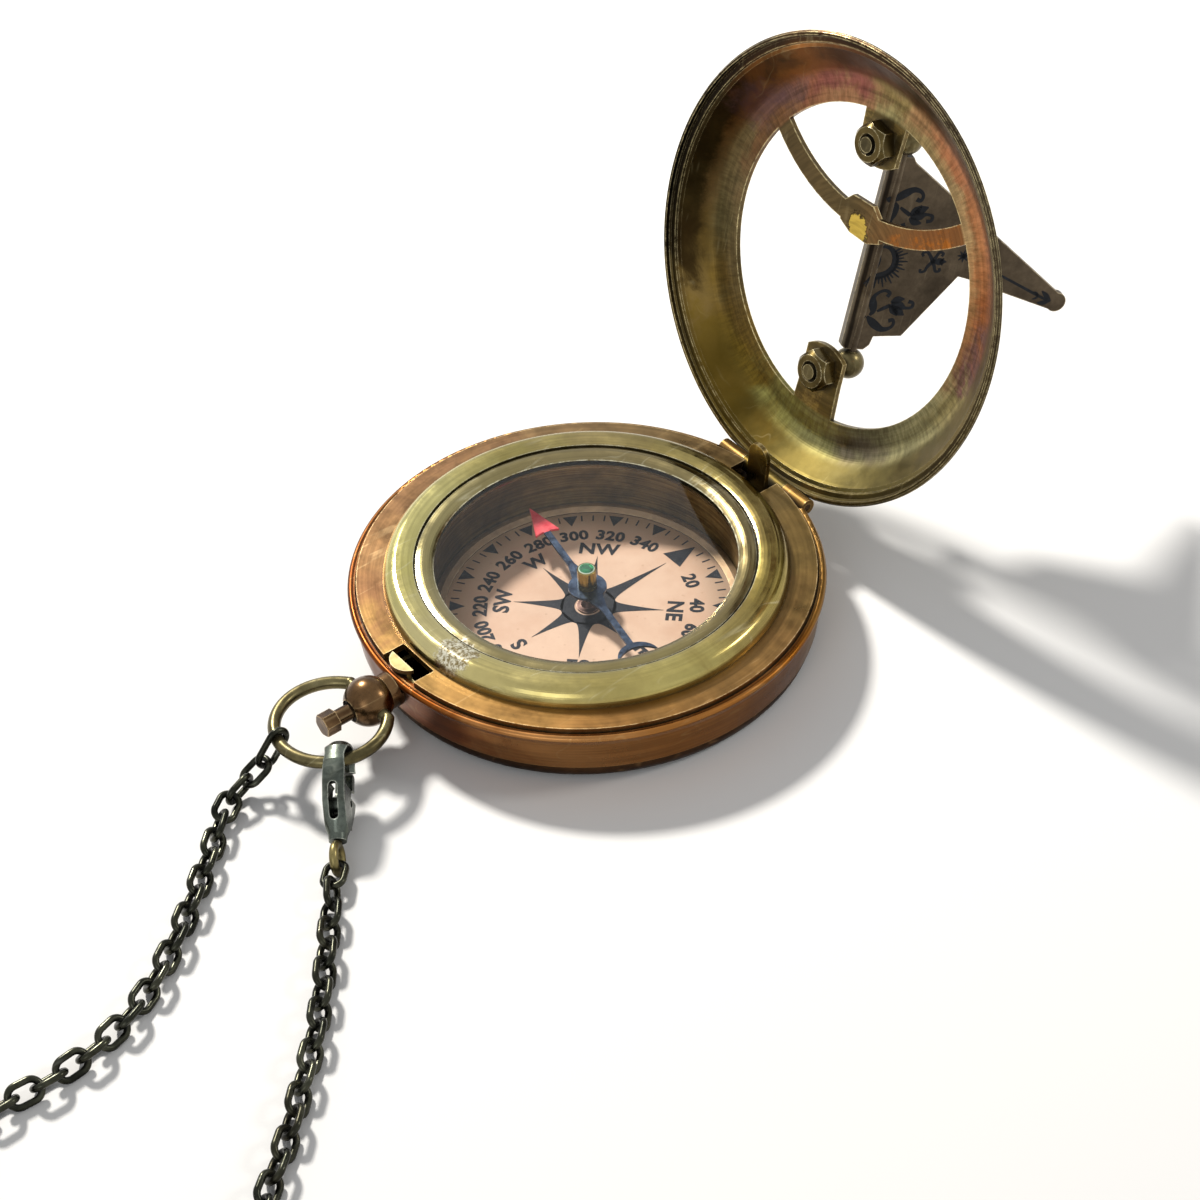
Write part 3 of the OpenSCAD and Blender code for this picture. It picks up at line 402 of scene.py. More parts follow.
def makeClockGroup():
    # where a point lies round the Z axis: its turn from 0 to 1, its radius, and fine streaks along the radius
    shape = clockShape
    tree, start, end = newGroup("clock", {"Vector": None, "Flip": 1.0, "Waver": 0.03},
                                {"Turn": "Float", "Radius": "Float", "Streaks": "Float"})
    split, flat, radius = roundAxis(tree, start["Vector"])
    angle = mathNode(tree, "ARCTAN2", split["X"], product(tree, split["Y"], start["Flip"]))
    wide = noise(tree, start["Vector"], *shape["waverNoise"])
    shift = product(tree, less(tree, wide, 0.5), product(tree, start["Waver"], shape["waverGain"]))
    turn = added(tree, mathNode(tree, "DIVIDE", angle, 2 * math.pi), shift)
    place = ringCoordinates(tree, flat, shape["spokes"], product(tree, radius, shape["streakLength"]))
    setInputs(tree, end, {"Turn": mathNode(tree, "FRACT", added(tree, turn, 1.0)), "Radius": radius,
                          "Streaks": noise(tree, place, *shape["streakNoise"])})
    return tree


def clockRamp(tree, turn, stops):
    # screen colours that follow one another round the axis and close on the first
    node = addNode(tree, "ValToRGB", {"Fac": turn})
    ramp = node.color_ramp
    ramp.interpolation = "EASE"
    listed = stops + [(1.0, *stops[0][1:])]
    for _ in listed[2:]:
        ramp.elements.new(0.5)
    for element, stop in zip(ramp.elements, listed):
        element.position = stop[0]
    for element, stop in zip(ramp.elements, listed):
        element.color = (*linear(*stop[1:]), 1)
    return node.outputs["Color"]


groups = {
    "clock": makeClockGroup(),
    "patina": makePatinaGroup(),
    "wear": makeWearGroup(),
    "turned": makeTurnedGroup(),
    "scratches": makeScratchGroup(),
    "pits": makePitGroup(),
}


def placeGroup(tree, name, inputs):
    return addNode(tree, "Group", inputs, node_tree=groups[name]).outputs


# what a metal has where its own look says nothing
plainMetal = {
    "scale": 60.0, "stainAmount": 0.5, "clock": None, "waver": 0.03, "tint": 0.75,
    "zones": None, "shade": 1.0,
    "pits": 0.3, "pitScale": 1100.0, "pitDark": 0.7, "pitDepth": 0.8, "onLid": False,
    "edge": 0.35, "wear": 0.7, "reach": 2.0, "hollowShadeDirt": 0.8, "dirtRough": 0.35, "dirtMetallic": 0.35,
    "scratches": 0.25, "scratchScale": 140.0, "scratchDepth": 0.6,
    "turned": 0.0, "rings": 2400.0, "turns": 1.4, "lines": 0.0, "lineRange": (0.34, 0.66),
    "roughness": (0.28, 0.5), "cloudier": 3, "cloudNoise": (5.0, 0.65), "cloudRange": (0.3, 0.7),
    "stainRough": 0.12, "dents": 0.25, "dentScale": 420.0, "dentDetail": 3.0,
    "bump": 0.35, "bumpHeight": 0.00006,
}


def metal(low, high, stain, bare, grimeAndShadeColour, **rest):
    # a look: two patina tones, a stain, bare metal, and grime with painted shade, as screen colours, then
    # what isn't plain
    tones = {"low": low, "high": high, "stain": stain, "bare": bare, "grimeAndShadeColour": grimeAndShadeColour}
    return {**plainMetal, **{name: linear(*tone) for name, tone in tones.items()}, **rest}


def antiqueMetal(name, look):
    # old metal: patina tones, stains, worn edges, grime and painted shade in corners, turning marks,
    # scratches and pits
    material, tree, shader, own = newMaterial(name)
    if look["onLid"]:
        own = lidCoordinates(tree, own)
    patina = placeGroup(tree, "patina", {
        "Vector": own, "Scale": look["scale"], "Low": look["low"], "High": look["high"],
        "Stain": look["stain"], "Stain Amount": look["stainAmount"]})
    colour = patina["Color"]
    # tints round the axis, with painted reflections and highlights among them
    if look["clock"]:
        clock = placeGroup(tree, "clock", {"Vector": own, "Waver": look["waver"]})
        colour = mixColour(tree, look["tint"], colour, clockRamp(tree, clock["Turn"], look["clock"]))
    if look["zones"]:
        colour = look["zones"](tree, own, colour)
    colour = shaded(tree, colour, look["shade"])
    pits = placeGroup(tree, "pits", {
        "Vector": own, "Scale": look["pitScale"], "Amount": look["pits"]})["Mask"]
    colour = mixColour(tree, product(tree, pits, look["pitDark"]), colour, look["grimeAndShadeColour"])
    wear = placeGroup(tree, "wear", {"Radius": look["edge"] * mm, "Reach": look["reach"] * mm, "Vector": own})
    colour = mixColour(tree, product(tree, wear["Edge"], look["wear"], True), colour, look["bare"])
    # grime in the corners and hollows, which also paints the shade that falls there
    hollowShadeDirt = product(tree, wear["DirtAndShade"], look["hollowShadeDirt"], True)
    colour = mixColour(tree, hollowShadeDirt, colour, look["grimeAndShadeColour"])
    scratches = placeGroup(tree, "scratches", {"Vector": own, "Scale": look["scratchScale"]})["Mask"]
    thin = product(tree, scratches, look["scratches"], True)
    colour = mixColour(tree, thin, colour, look["bare"])
    marks = placeGroup(tree, "turned", {
        "Vector": own, "Rings": look["rings"], "Turns": look["turns"]})["Height"]
    lines = (1 - look["lines"], 1 + look["lines"])
    colour = shaded(tree, colour, smoothStep(tree, marks, *look["lineRange"], lines))

    cloud = noise(tree, own, look["scale"] * look["cloudier"], *look["cloudNoise"])
    rough = smoothStep(tree, cloud, *look["cloudRange"], look["roughness"])
    rough = added(tree, rough, product(tree, hollowShadeDirt, look["dirtRough"]))
    rough = added(tree, rough, product(tree, patina["Mask"], look["stainRough"]), True)
    metallic = addNode(tree, "MapRange", {"Value": hollowShadeDirt, "To Min": 1.0, "To Max": look["dirtMetallic"]})

    height = product(tree, marks, look["turned"])
    dents = noise(tree, own, look["dentScale"], look["dentDetail"])
    height = added(tree, height, product(tree, dents, look["dents"]))
    height = less(tree, height, product(tree, pits, look["pitDepth"]))
    height = less(tree, height, product(tree, thin, look["scratchDepth"]))
    bump = addNode(tree, "Bump", {"Height": height, "Strength": look["bump"], "Distance": look["bumpHeight"]})
    setInputs(tree, shader, {"Base Color": colour, "Roughness": rough, "Metallic": metallic.outputs["Result"],
                             "Normal": bump.outputs["Normal"]})
    return material


def dress(material, *names):
    for name in names:
        mesh = nodes[name].data
        mesh.materials.clear()
        mesh.materials.append(material)


# Finishes of the pieces of metal

# in a clock table the turn is 0 at the hinge and grows clockwise from above: 0.35 is nearest the camera and
# 0.6 is over the bow. Each stop is (turn, red, green, blue). Edges of zones are in metres, places in mm.
# each clock table mixes the metal's own tints with painted reflections: darker and paler zones round the ring
bandLook = metal(
    (82, 50, 22), (134, 90, 48), (48, 28, 16), (214, 180, 124), (22, 15, 10), stainAmount=0.4,
    roughness=(0.24, 0.42), scale=38.0, turned=0.35, rings=1600.0, pits=0.25, scratches=0.12, tint=0.88,
    shade=1.08, lines=0.16,
    clock=[(0.0, 112, 88, 48), (0.1, 118, 88, 40), (0.2, 106, 62, 12), (0.3, 140, 92, 44),
        (0.38, 158, 112, 66), (0.46, 112, 58, 16), (0.56, 84, 38, 8), (0.7, 100, 62, 26),
        (0.85, 112, 84, 48)])
coverLook = metal(
    (46, 32, 24), (82, 58, 38), (26, 20, 16), (176, 136, 90), (16, 12, 10), roughness=(0.35, 0.6),
    turned=0.3, wear=0.5)
ledgeLook = metal(
    (132, 94, 60), (182, 138, 84), (112, 70, 54), (232, 202, 150), (26, 18, 12), roughness=(0.26, 0.42),
    turned=0.4, rings=1500.0, pits=0.2, reach=1.2, tint=0.65, waver=0.05, scratches=0.12, shade=0.6,
    lines=0.14,
    clock=[(0.0, 138, 122, 74), (0.09, 148, 128, 74), (0.2, 156, 122, 72), (0.34, 160, 116, 60),
        (0.43, 182, 140, 78), (0.5, 186, 148, 84), (0.57, 126, 90, 62), (0.66, 116, 88, 64),
        (0.76, 112, 86, 64), (0.86, 136, 116, 82), (0.94, 136, 118, 80)])


def bezelZones(tree, own, colour):
    # the ring inside the crest is greyer, with a line of shade in the crease
    look = bezelLook
    radius = roundAxis(tree, own)[2]
    inner = product(tree, smoothStep(tree, radius, *look["innerEdge"]), look["innerAmount"])
    colour = mixColour(tree, inner, colour, look["inner"])
    crease = product(tree, smoothStep(tree, radius, *look["creaseFrom"]),
                     smoothStep(tree, radius, *look["creaseTo"]))
    colour = mixColour(tree, product(tree, crease, look["creaseDark"]), colour, look["grimeAndShadeColour"])
    # a corroded patch, speckled pale and brown
    ragged = product(tree, noise(tree, own, *look["patchNoise"]), look["patchRagged"])
    near = added(tree, distanceTo(tree, own, look["patchPlace"]), ragged)
    speck = smoothStep(tree, noise(tree, own, *look["speckNoise"]), *look["patchSpecks"])
    spots = mixColour(tree, speck, look["patchLow"], look["patchHigh"])
    return mixColour(tree, smoothStep(tree, near, *look["patchEdge"], look["patchAmount"]), colour, spots)


bezelLook = metal(
    (142, 128, 72), (188, 174, 112), (112, 92, 50), (250, 244, 214), (46, 40, 24), stainAmount=0.45,
    roughness=(0.13, 0.27), turned=0.35, rings=1900.0, pits=0.5, pitScale=800.0, dents=0.3, reach=1.0,
    scratches=0.15, zones=bezelZones, inner=linear(124, 112, 82), tint=0.7, waver=0.035, lines=0.1,
    shade=0.92, innerEdge=(0.02725, 0.0269), innerAmount=0.72, creaseFrom=(0.0268, 0.027),
    creaseTo=(0.0274, 0.0272), creaseDark=0.85, patchPlace=(5.6, -29.2, 13.3),
    patchLow=linear(122, 102, 62), patchHigh=linear(232, 226, 204), patchRagged=0.007,
    patchNoise=(420.0, 6.0, 0.7), speckNoise=(1500.0, 4.0, 0.8),
    patchSpecks=(0.42, 0.58), patchEdge=(0.0072, 0.0064), patchAmount=(0.0, 0.85),
    clock=[(0.0, 132, 114, 62), (0.07, 112, 88, 42), (0.13, 150, 130, 66), (0.2, 128, 106, 52),
        (0.27, 176, 162, 96), (0.34, 156, 140, 82), (0.43, 190, 176, 118), (0.5, 204, 192, 140),
        (0.6, 184, 176, 108), (0.68, 196, 188, 126), (0.78, 150, 138, 84), (0.86, 138, 120, 84),
        (0.93, 120, 104, 62)])
wellLook = metal(
    (92, 82, 58), (148, 132, 92), (66, 56, 40), (206, 190, 140), (34, 30, 22), stainAmount=0.4,
    roughness=(0.3, 0.46), turned=1.0, rings=3600.0, bump=0.6, pits=0.2, scratches=0.1, lines=0.3,
    shade=1.15)
dialRingLook = metal(
    (104, 86, 66), (140, 116, 88), (72, 58, 46), (190, 170, 136), (40, 32, 24), stainAmount=0.4,
    roughness=(0.35, 0.5), turned=0.6, scratches=0.1)
darkBrassLook = metal(
    (70, 50, 34), (124, 94, 62), (40, 29, 22), (206, 176, 128), (18, 13, 10), roughness=(0.16, 0.32),
    scale=90.0, wear=0.8, dents=0.5, scratches=0.15, shade=0.7)
# the pendant bush stands in shade behind the ball: this darker copy of the dark brass is painted shade
shadedBushLook = dict(darkBrassLook, low=linear(24, 18, 14), high=linear(44, 32, 24))
bowLook = metal(
    (74, 66, 42), (122, 112, 78), (50, 42, 28), (206, 196, 156), (30, 25, 16), roughness=(0.24, 0.42),
    scale=90.0, dents=0.5, scratches=0.12, shade=0.8)
springLook = metal(
    (74, 60, 30), (116, 98, 56), (58, 46, 26), (206, 190, 146), (24, 20, 12), stainAmount=0.4,
    roughness=(0.24, 0.38))
nibLook = metal(
    (150, 134, 88), (202, 186, 134), (104, 88, 54), (244, 234, 200), (30, 24, 16), stainAmount=0.3,
    roughness=(0.2, 0.34), wear=0.5)
screwLook = metal(
    (120, 120, 116), (160, 158, 150), (80, 76, 70), (220, 218, 210), (30, 28, 24), stainAmount=0.4,
    roughness=(0.25, 0.4))
nutLook = metal(
    (88, 74, 42), (146, 126, 76), (62, 50, 28), (238, 224, 182), (22, 18, 11), stainAmount=0.45,
    roughness=(0.2, 0.34), wear=1.0, onLid=True, edge=0.3, scratches=0.1, shade=0.55)
postLook = metal(
    (72, 64, 44), (120, 108, 74), (48, 42, 28), (216, 200, 154), (22, 19, 13), roughness=(0.22, 0.38),
    dents=0.5, scale=90.0, onLid=True, scratches=0.1, shade=0.8)
gunmetalLook = metal(
    (26, 27, 23), (66, 66, 54), (40, 34, 22), (176, 178, 164), (8, 8, 7), stainAmount=0.4,
    roughness=(0.18, 0.34), scale=140.0, wear=0.9, dents=0.6, reach=1.2, scratches=0.1)
claspLook = dict(gunmetalLook, low=linear(40, 45, 42), high=linear(108, 114, 104), dents=1.2, dentScale=700.0,
                 bump=0.6, roughness=(0.2, 0.36))
eyeLook = dict(bowLook, low=linear(92, 84, 54), high=linear(146, 132, 86))
capLook = metal(
    (116, 100, 50), (164, 146, 80), (84, 70, 36), (232, 218, 160), (34, 28, 16), stainAmount=0.3,
    roughness=(0.18, 0.3), turned=0.9, rings=5200.0)
bossLook = dict(dialRingLook, low=linear(54, 42, 38), high=linear(96, 74, 66), bare=linear(196, 160, 142),
                roughness=(0.4, 0.6))


def lidZones(tree, own, colour):
    # heat tints and painted reflections in the lid's own frame: the turn is 0 at the bow side and grows
    # clockwise from inside
    look = lidLook
    clock = placeGroup(tree, "clock", {"Vector": own, "Flip": -1.0, "Waver": look["waver"]})
    turn = clock["Turn"]
    split = addNode(tree, "SeparateXYZ", {"Vector": own}).outputs
    warp = noise(tree, own, *look["warpNoise"])
    ragged = product(tree, less(tree, warp, 0.5), look["ragged"])
    # the flat ring, paler along the opening, with streaks along the radius and darker blotches
    face = shaded(tree, clockRamp(tree, turn, look["faceTints"]), look["faceShade"])
    inside = shaded(tree, clockRamp(tree, turn, look["innerTints"]), look["faceShade"])
    near = smoothStep(tree, added(tree, clock["Radius"], ragged), *look["innerEdge"])
    face = mixColour(tree, product(tree, near, look["innerAmount"]), face, inside)
    streak = smoothStep(tree, clock["Streaks"], *look["streakRange"], look["streakShade"])
    face = mixColour(tree, look["streakAmount"], face, shaded(tree, face, streak))
    blotch = noise(tree, own, *look["blotchNoise"])
    blotch = smoothStep(tree, blotch, *look["blotchRange"], look["blotchAmount"])
    face = mixColour(tree, blotch, face, shaded(tree, face, look["blotchShade"]))
    # the wall, with tints of its own at its foot, and a dark painted reflection on its left
    depth = added(tree, split["Z"], product(tree, ragged, look["footRagged"]))
    wall = clockRamp(tree, turn, look["wallTints"])
    foot = smoothStep(tree, depth, *look["footDepth"])
    wall = mixColour(tree, foot, wall, clockRamp(tree, turn, look["footTints"]))
    onWall = added(tree, clock["Radius"], product(tree, ragged, look["wallRagged"]))
    tint = mixColour(tree, smoothStep(tree, onWall, *look["wallEdge"]), face, wall)
    # the crossbar and the lugs stand inside the opening
    toRight = smoothStep(tree, added(tree, split["X"], ragged), *look["barTurn"])
    bar = mixColour(tree, toRight, look["barLeft"], look["barRight"])
    orange = smoothStep(tree, warp, *look["orangeRange"])
    bar = mixColour(tree, product(tree, orange, toRight), bar, look["barOrange"])
    lug = product(tree, smoothStep(tree, mathNode(tree, "ABSOLUTE", split["X"]), *look["lugSide"]),
                  smoothStep(tree, mathNode(tree, "ABSOLUTE", split["Y"]), *look["lugFrom"]))
    bar = mixColour(tree, lug, bar, mixColour(tree, orange, look["lug"], look["lugGold"]))
    tint = mixColour(tree, smoothStep(tree, clock["Radius"], *look["barEdge"]), tint, bar)
    # purple stain at the crossbar's left root
    root = distanceTo(tree, own, look["stainPlace"])
    root = added(tree, root, product(tree, ragged, look["stainRagged"]))
    root = product(tree, smoothStep(tree, root, *look["stainSize"]), look["purpleAmount"])
    tint = mixColour(tree, root, tint, look["purple"])
    # a bare patch on the bump's lower edge, with a dark outline
    patch = added(tree, distanceTo(tree, own, look["patchPlace"]), ragged)
    tint = mixColour(tree, smoothStep(tree, patch, *look["patchOutline"]), tint, look["grimeAndShadeColour"])
    tint = mixColour(tree, smoothStep(tree, patch, *look["patchSize"]), tint, look["patch"])
    colour = mixColour(tree, look["tintAmount"], colour, tint)
    # the rim's tints, with the same dark painted reflection on the left
    rim = product(tree, smoothStep(tree, clock["Radius"], *look["rimEdge"]), look["tintAmount"])
    return mixColour(tree, rim, colour, clockRamp(tree, turn, look["rimTints"]))


lidLook = metal(
    (70, 54, 26), (118, 98, 54), (54, 38, 22), (236, 218, 164), (20, 16, 10), stainAmount=0.45,
    roughness=(0.3, 0.46), turned=0.9, rings=1300.0, pits=0.35, onLid=True, zones=lidZones, reach=3.0,
    scratches=0.06, dents=0.4, lines=0.2, waver=0.05, ragged=0.009, tintAmount=0.85, faceShade=0.56,
    innerEdge=(0.029, 0.0268), innerAmount=0.8, streakRange=(0.32, 0.68), streakShade=(0.62, 1.3),
    streakAmount=0.8, blotchRange=(0.52, 0.7), blotchAmount=(0.0, 0.55), blotchShade=0.45,
    footDepth=(-0.0036, -0.0016), wallEdge=(0.0302, 0.0326), rimEdge=(0.0355, 0.0361),
    barEdge=(0.0262, 0.0256), barTurn=(-0.004, 0.016), orangeRange=(0.5, 0.6), lugSide=(0.0058, 0.005),
    lugFrom=(0.0128, 0.0138), stainPlace=(-26.3, -17.7, -0.9), stainSize=(0.007, 0.002), purpleAmount=0.7,
    patchPlace=(0.2, -6.6, -0.9), patchSize=(0.0019, 0.0017), patchOutline=(0.0022, 0.002),
    barLeft=linear(82, 68, 44), barRight=linear(122, 78, 44), barOrange=linear(158, 92, 34),
    lug=linear(92, 78, 46), lugGold=linear(140, 116, 66), purple=linear(82, 58, 66),
    patch=linear(186, 158, 70), warpNoise=(150.0, 8.0, 0.75), blotchNoise=(420.0, 8.0, 0.8),
    footRagged=0.5, wallRagged=0.3, stainRagged=1.5,
    faceTints=[(0.0, 162, 140, 88), (0.04, 196, 150, 104), (0.09, 196, 128, 88), (0.17, 206, 136, 88),
        (0.23, 188, 112, 66), (0.265, 134, 92, 92), (0.295, 182, 166, 112), (0.38, 190, 182, 132),
        (0.44, 142, 130, 108), (0.49, 152, 148, 96), (0.53, 158, 152, 84), (0.58, 124, 100, 36),
        (0.65, 106, 84, 40), (0.73, 104, 94, 62), (0.79, 122, 104, 70), (0.84, 146, 100, 66),
        (0.875, 126, 88, 82), (0.905, 158, 96, 76), (0.95, 158, 92, 84)],
    innerTints=[(0.0, 190, 178, 122), (0.06, 186, 166, 112), (0.14, 206, 176, 124), (0.25, 178, 128, 84),
        (0.32, 200, 192, 142), (0.45, 150, 144, 106), (0.52, 140, 134, 74), (0.6, 112, 90, 42),
        (0.74, 122, 106, 74), (0.85, 140, 100, 68), (0.91, 176, 122, 84), (0.96, 184, 140, 98)],
    # the dark stops near 0.75 on the wall and the rim are painted reflection
    wallTints=[(0.0, 66, 38, 14), (0.08, 74, 62, 50), (0.2, 84, 68, 46), (0.3, 110, 96, 60),
        (0.4, 88, 80, 46), (0.48, 70, 62, 28), (0.56, 78, 62, 18), (0.62, 88, 70, 24), (0.66, 94, 76, 40),
        (0.7, 32, 22, 8), (0.76, 10, 6, 2), (0.84, 16, 8, 3), (0.88, 84, 48, 18), (0.92, 126, 76, 34),
        (0.97, 84, 48, 22)],
    footTints=[(0.0, 128, 80, 46), (0.08, 104, 84, 56), (0.2, 112, 84, 54), (0.3, 116, 102, 66),
        (0.4, 88, 82, 52), (0.48, 80, 74, 40), (0.56, 82, 68, 26), (0.63, 84, 66, 22), (0.69, 84, 66, 30),
        (0.76, 86, 66, 38), (0.83, 96, 66, 36), (0.89, 136, 84, 38), (0.95, 140, 88, 52)],
    rimTints=[(0.0, 34, 22, 10), (0.15, 46, 38, 28), (0.3, 54, 44, 28), (0.45, 84, 72, 38),
        (0.55, 86, 70, 26), (0.65, 56, 46, 22), (0.75, 20, 15, 8), (0.88, 26, 19, 12)])


def gnomonZones(tree, own, colour):
    # a pale strip and a dark line along the pivot edge, by the distance from the pivot across the plate
    look = gnomonLook
    angle = math.radians(lidShape["lean"])
    away = vectorMath(tree, "DOT_PRODUCT", own, (math.sin(angle), 0.0, math.cos(angle)))
    away = less(tree, away, (lidShape["pivot"] - lidShape["middle"]) * mm * math.cos(angle))
    dark = product(tree, smoothStep(tree, away, *look["lineFrom"]), smoothStep(tree, away, *look["lineTo"]))
    colour = mixColour(tree, product(tree, dark, look["lineAmount"]), colour, look["grimeAndShadeColour"])
    pale = product(tree, smoothStep(tree, away, *look["stripEdge"]), look["stripAmount"])
    return mixColour(tree, pale, colour, look["strip"])


gnomonLook = metal(
    (78, 68, 56), (116, 102, 84), (54, 46, 40), (208, 190, 156), (24, 20, 18), stainAmount=0.45,
    roughness=(0.3, 0.46), scale=80.0, onLid=True, dents=0.4, scratches=0.06, zones=gnomonZones, shade=0.62,
    strip=linear(150, 142, 128), stripEdge=(-0.0019, -0.0021), stripAmount=0.6, lineFrom=(-0.0019, -0.0017),
    lineTo=(-0.0009, -0.0012), lineAmount=0.8)

# the name of a finish, its look and the solids that wear it
finishes = [
    ("bandBrass", bandLook, "case_band"),
    ("coverBrass", coverLook, "back_cover"),
    ("ledgeCopper", ledgeLook, "ledge_ring"),
    ("bezelBrass", bezelLook, "bezel", "glass_ring"),
    ("wellBrass", wellLook, "compass_well"),
    ("dialRingBrass", dialRingLook, "dial_ring"),
    ("darkBrass", darkBrassLook, "pendant_ball", "push_button", "hinge_pin"),
    ("shadedBushBrass", shadedBushLook, "pendant_bush"),
    ("bowBrass", bowLook, "bow_ring"),
    ("springBronze", springLook, "lift_spring"),
    ("nibBrass", nibLook, "catch_spring"),
    ("screwSteel", screwLook, "lift_spring_screw", "catch_spring_screw", "button_spring", "clasp_pin",
     "pivot_pin"),
    ("nutBrass", nutLook, "post_nuts"),
    ("postBrass", postLook, "gnomon_post_north", "gnomon_post_south"),
    ("gunmetal", gunmetalLook, "end_link", "chain_links"),
    ("castGunmetal", claspLook, "clasp_body", "clasp_lever"),
    ("eyeBrass", eyeLook, "clasp_eye"),
    ("capBrass", capLook, "needle_cap"),
    ("bossCopper", bossLook, "pivot_base"),
    ("lidBrass", lidLook, "lid"),
    ("gnomonBrass", gnomonLook, "gnomon"),
]
for finishName, finishLook, *wearers in finishes:
    dress(antiqueMetal(finishName, finishLook), *wearers)
print("metal finishes made")


glassLook = {
    "colour": (0.96, 0.98, 0.97), "dust": (0.4, 0.8), "roughness": (0.01, 0.06), "mirror": 1.35,
    "hazeRange": (0.55, 0.85), "haze": (0.0, 0.03), "dustNoise": (700.0, 6.0, 0.7),
}


def makeGlass():
    # a clear pane: it mirrors by the angle it is seen at, and the rest of the light goes straight through
    look = glassLook
    material, tree, shader, own = newMaterial("clearGlass")
    dust = noise(tree, own, *look["dustNoise"])
    mirror = addNode(tree, "Fresnel", {"IOR": look["mirror"]}).outputs["Fac"]
    mirror = added(tree, mirror, smoothStep(tree, dust, *look["hazeRange"], look["haze"]))
    front = less(tree, 1.0, addNode(tree, "NewGeometry").outputs["Backfacing"])
    setInputs(tree, shader, {"Base Color": look["colour"], "Metallic": 1.0,
                             "Roughness": smoothStep(tree, dust, *look["dust"], look["roughness"]),
                             "Alpha": product(tree, mirror, front, True)})
    return material


jewelLook = {
    "facets": 1100.0, "dark": (0.0, 0.05, 0.02), "green": (0.02, 0.42, 0.14), "rim": (0.62, 0.72, 0.58),
    "edge": (0.00112, 0.00122), "roughness": 0.12, "coat": 0.6,
}


def makeJewel():
    # a green stone with facets and a pale rim
    look = jewelLook
    material, tree, shader, own = newMaterial("greenStone")
    facets = addNode(tree, "TexVoronoi", {"Vector": own, "Scale": look["facets"]}).outputs["Color"]
    edge = smoothStep(tree, roundAxis(tree, own)[2], *look["edge"])
    tone = mixColour(tree, edge, mixColour(tree, facets, look["dark"], look["green"]), look["rim"])
    setInputs(tree, shader, {"Base Color": tone, "Roughness": look["roughness"], "Coat Weight": look["coat"]})
    return material


paperLook = {
    "low": linear(208, 168, 138), "high": linear(222, 188, 160), "speck": linear(182, 138, 104),
    "stain": linear(170, 120, 78), "wellShade": linear(136, 108, 78), "cloud": (0.3, 0.7),
    "wideNoise": (110.0, 6.0, 0.6), "specks": 420.0, "speckSize": (0.0, 0.14),
    "speckAmount": (0.55, 0.0), "stainNoise": (70.0, 8.0, 0.75, 1.0), "stainRange": (0.6, 0.78),
    "stainAmount": (0.0, 0.6),
    "ragged": 0.004, "wellShadeFrom": (0.0185, 0.0255), "wellShadeAmount": 0.75, "roughness": (0.42, 0.6),
    "bump": 0.1, "bumpHeight": 0.00005,
}


def makeDialPaper():
    # peach paper with faint mottling, specks and a few brown stains, and painted shade from the well's wall
    # darkening it toward the edge
    look = paperLook
    material, tree, shader, own = newMaterial("dialPeach")
    wide = noise(tree, own, *look["wideNoise"])
    colour = mixColour(tree, smoothStep(tree, wide, *look["cloud"]), look["low"], look["high"])
    speck = addNode(tree, "TexVoronoi", {"Vector": own, "Scale": look["specks"]}).outputs["Distance"]
    speck = smoothStep(tree, speck, *look["speckSize"], look["speckAmount"])
    colour = mixColour(tree, speck, colour, look["speck"])
    stains = noise(tree, own, *look["stainNoise"])
    stains = smoothStep(tree, stains, *look["stainRange"], look["stainAmount"])
    colour = mixColour(tree, stains, colour, look["stain"])
    # painted shade from the well's wall, darker toward the dial's edge
    radius = added(tree, roundAxis(tree, own)[2], product(tree, wide, look["ragged"]))
    wellShade = product(tree, smoothStep(tree, radius, *look["wellShadeFrom"]), look["wellShadeAmount"])
    bump = addNode(tree, "Bump", {"Height": wide, "Strength": look["bump"], "Distance": look["bumpHeight"]})
    setInputs(tree, shader, {"Base Color": mixColour(tree, wellShade, colour, look["wellShade"]),
                             "Roughness": smoothStep(tree, wide, *look["cloud"], look["roughness"]),
                             "Normal": bump.outputs["Normal"]})
    return material


inkLook = {
    "grainNoise": (900.0, 5.0, 0.7), "wornRange": (0.5, 0.75), "roughRange": (0.3, 0.7),
    "roughness": (0.35, 0.6), "specular": 0.2,
}


def makeInk(name, dark, worn):
    # dark paint with a little wear
    look = inkLook
    material, tree, shader, own = newMaterial(name)
    grain = noise(tree, own, *look["grainNoise"])
    setInputs(tree, shader, {
        "Base Color": mixColour(tree, smoothStep(tree, grain, *look["wornRange"]), dark, worn),
        "Roughness": smoothStep(tree, grain, *look["roughRange"], look["roughness"]),
        "Specular IOR Level": look["specular"]})
    return material


needleLook = {
    "bearing": 282.0, "blue": linear(34, 44, 60), "blueWorn": linear(70, 84, 104),
    "red": linear(214, 52, 66), "redWorn": linear(236, 96, 100), "fineRange": (0.35, 0.75),
    "redFrom": (0.01505, 0.01515), "barbFrom": (0.0143, 0.0144), "barbSide": (0.00058, 0.00062),
    "grainNoise": (600.0, 5.0, 0.7), "metallic": 0.9, "roughRange": (0.3, 0.7), "roughness": (0.25, 0.42),
}


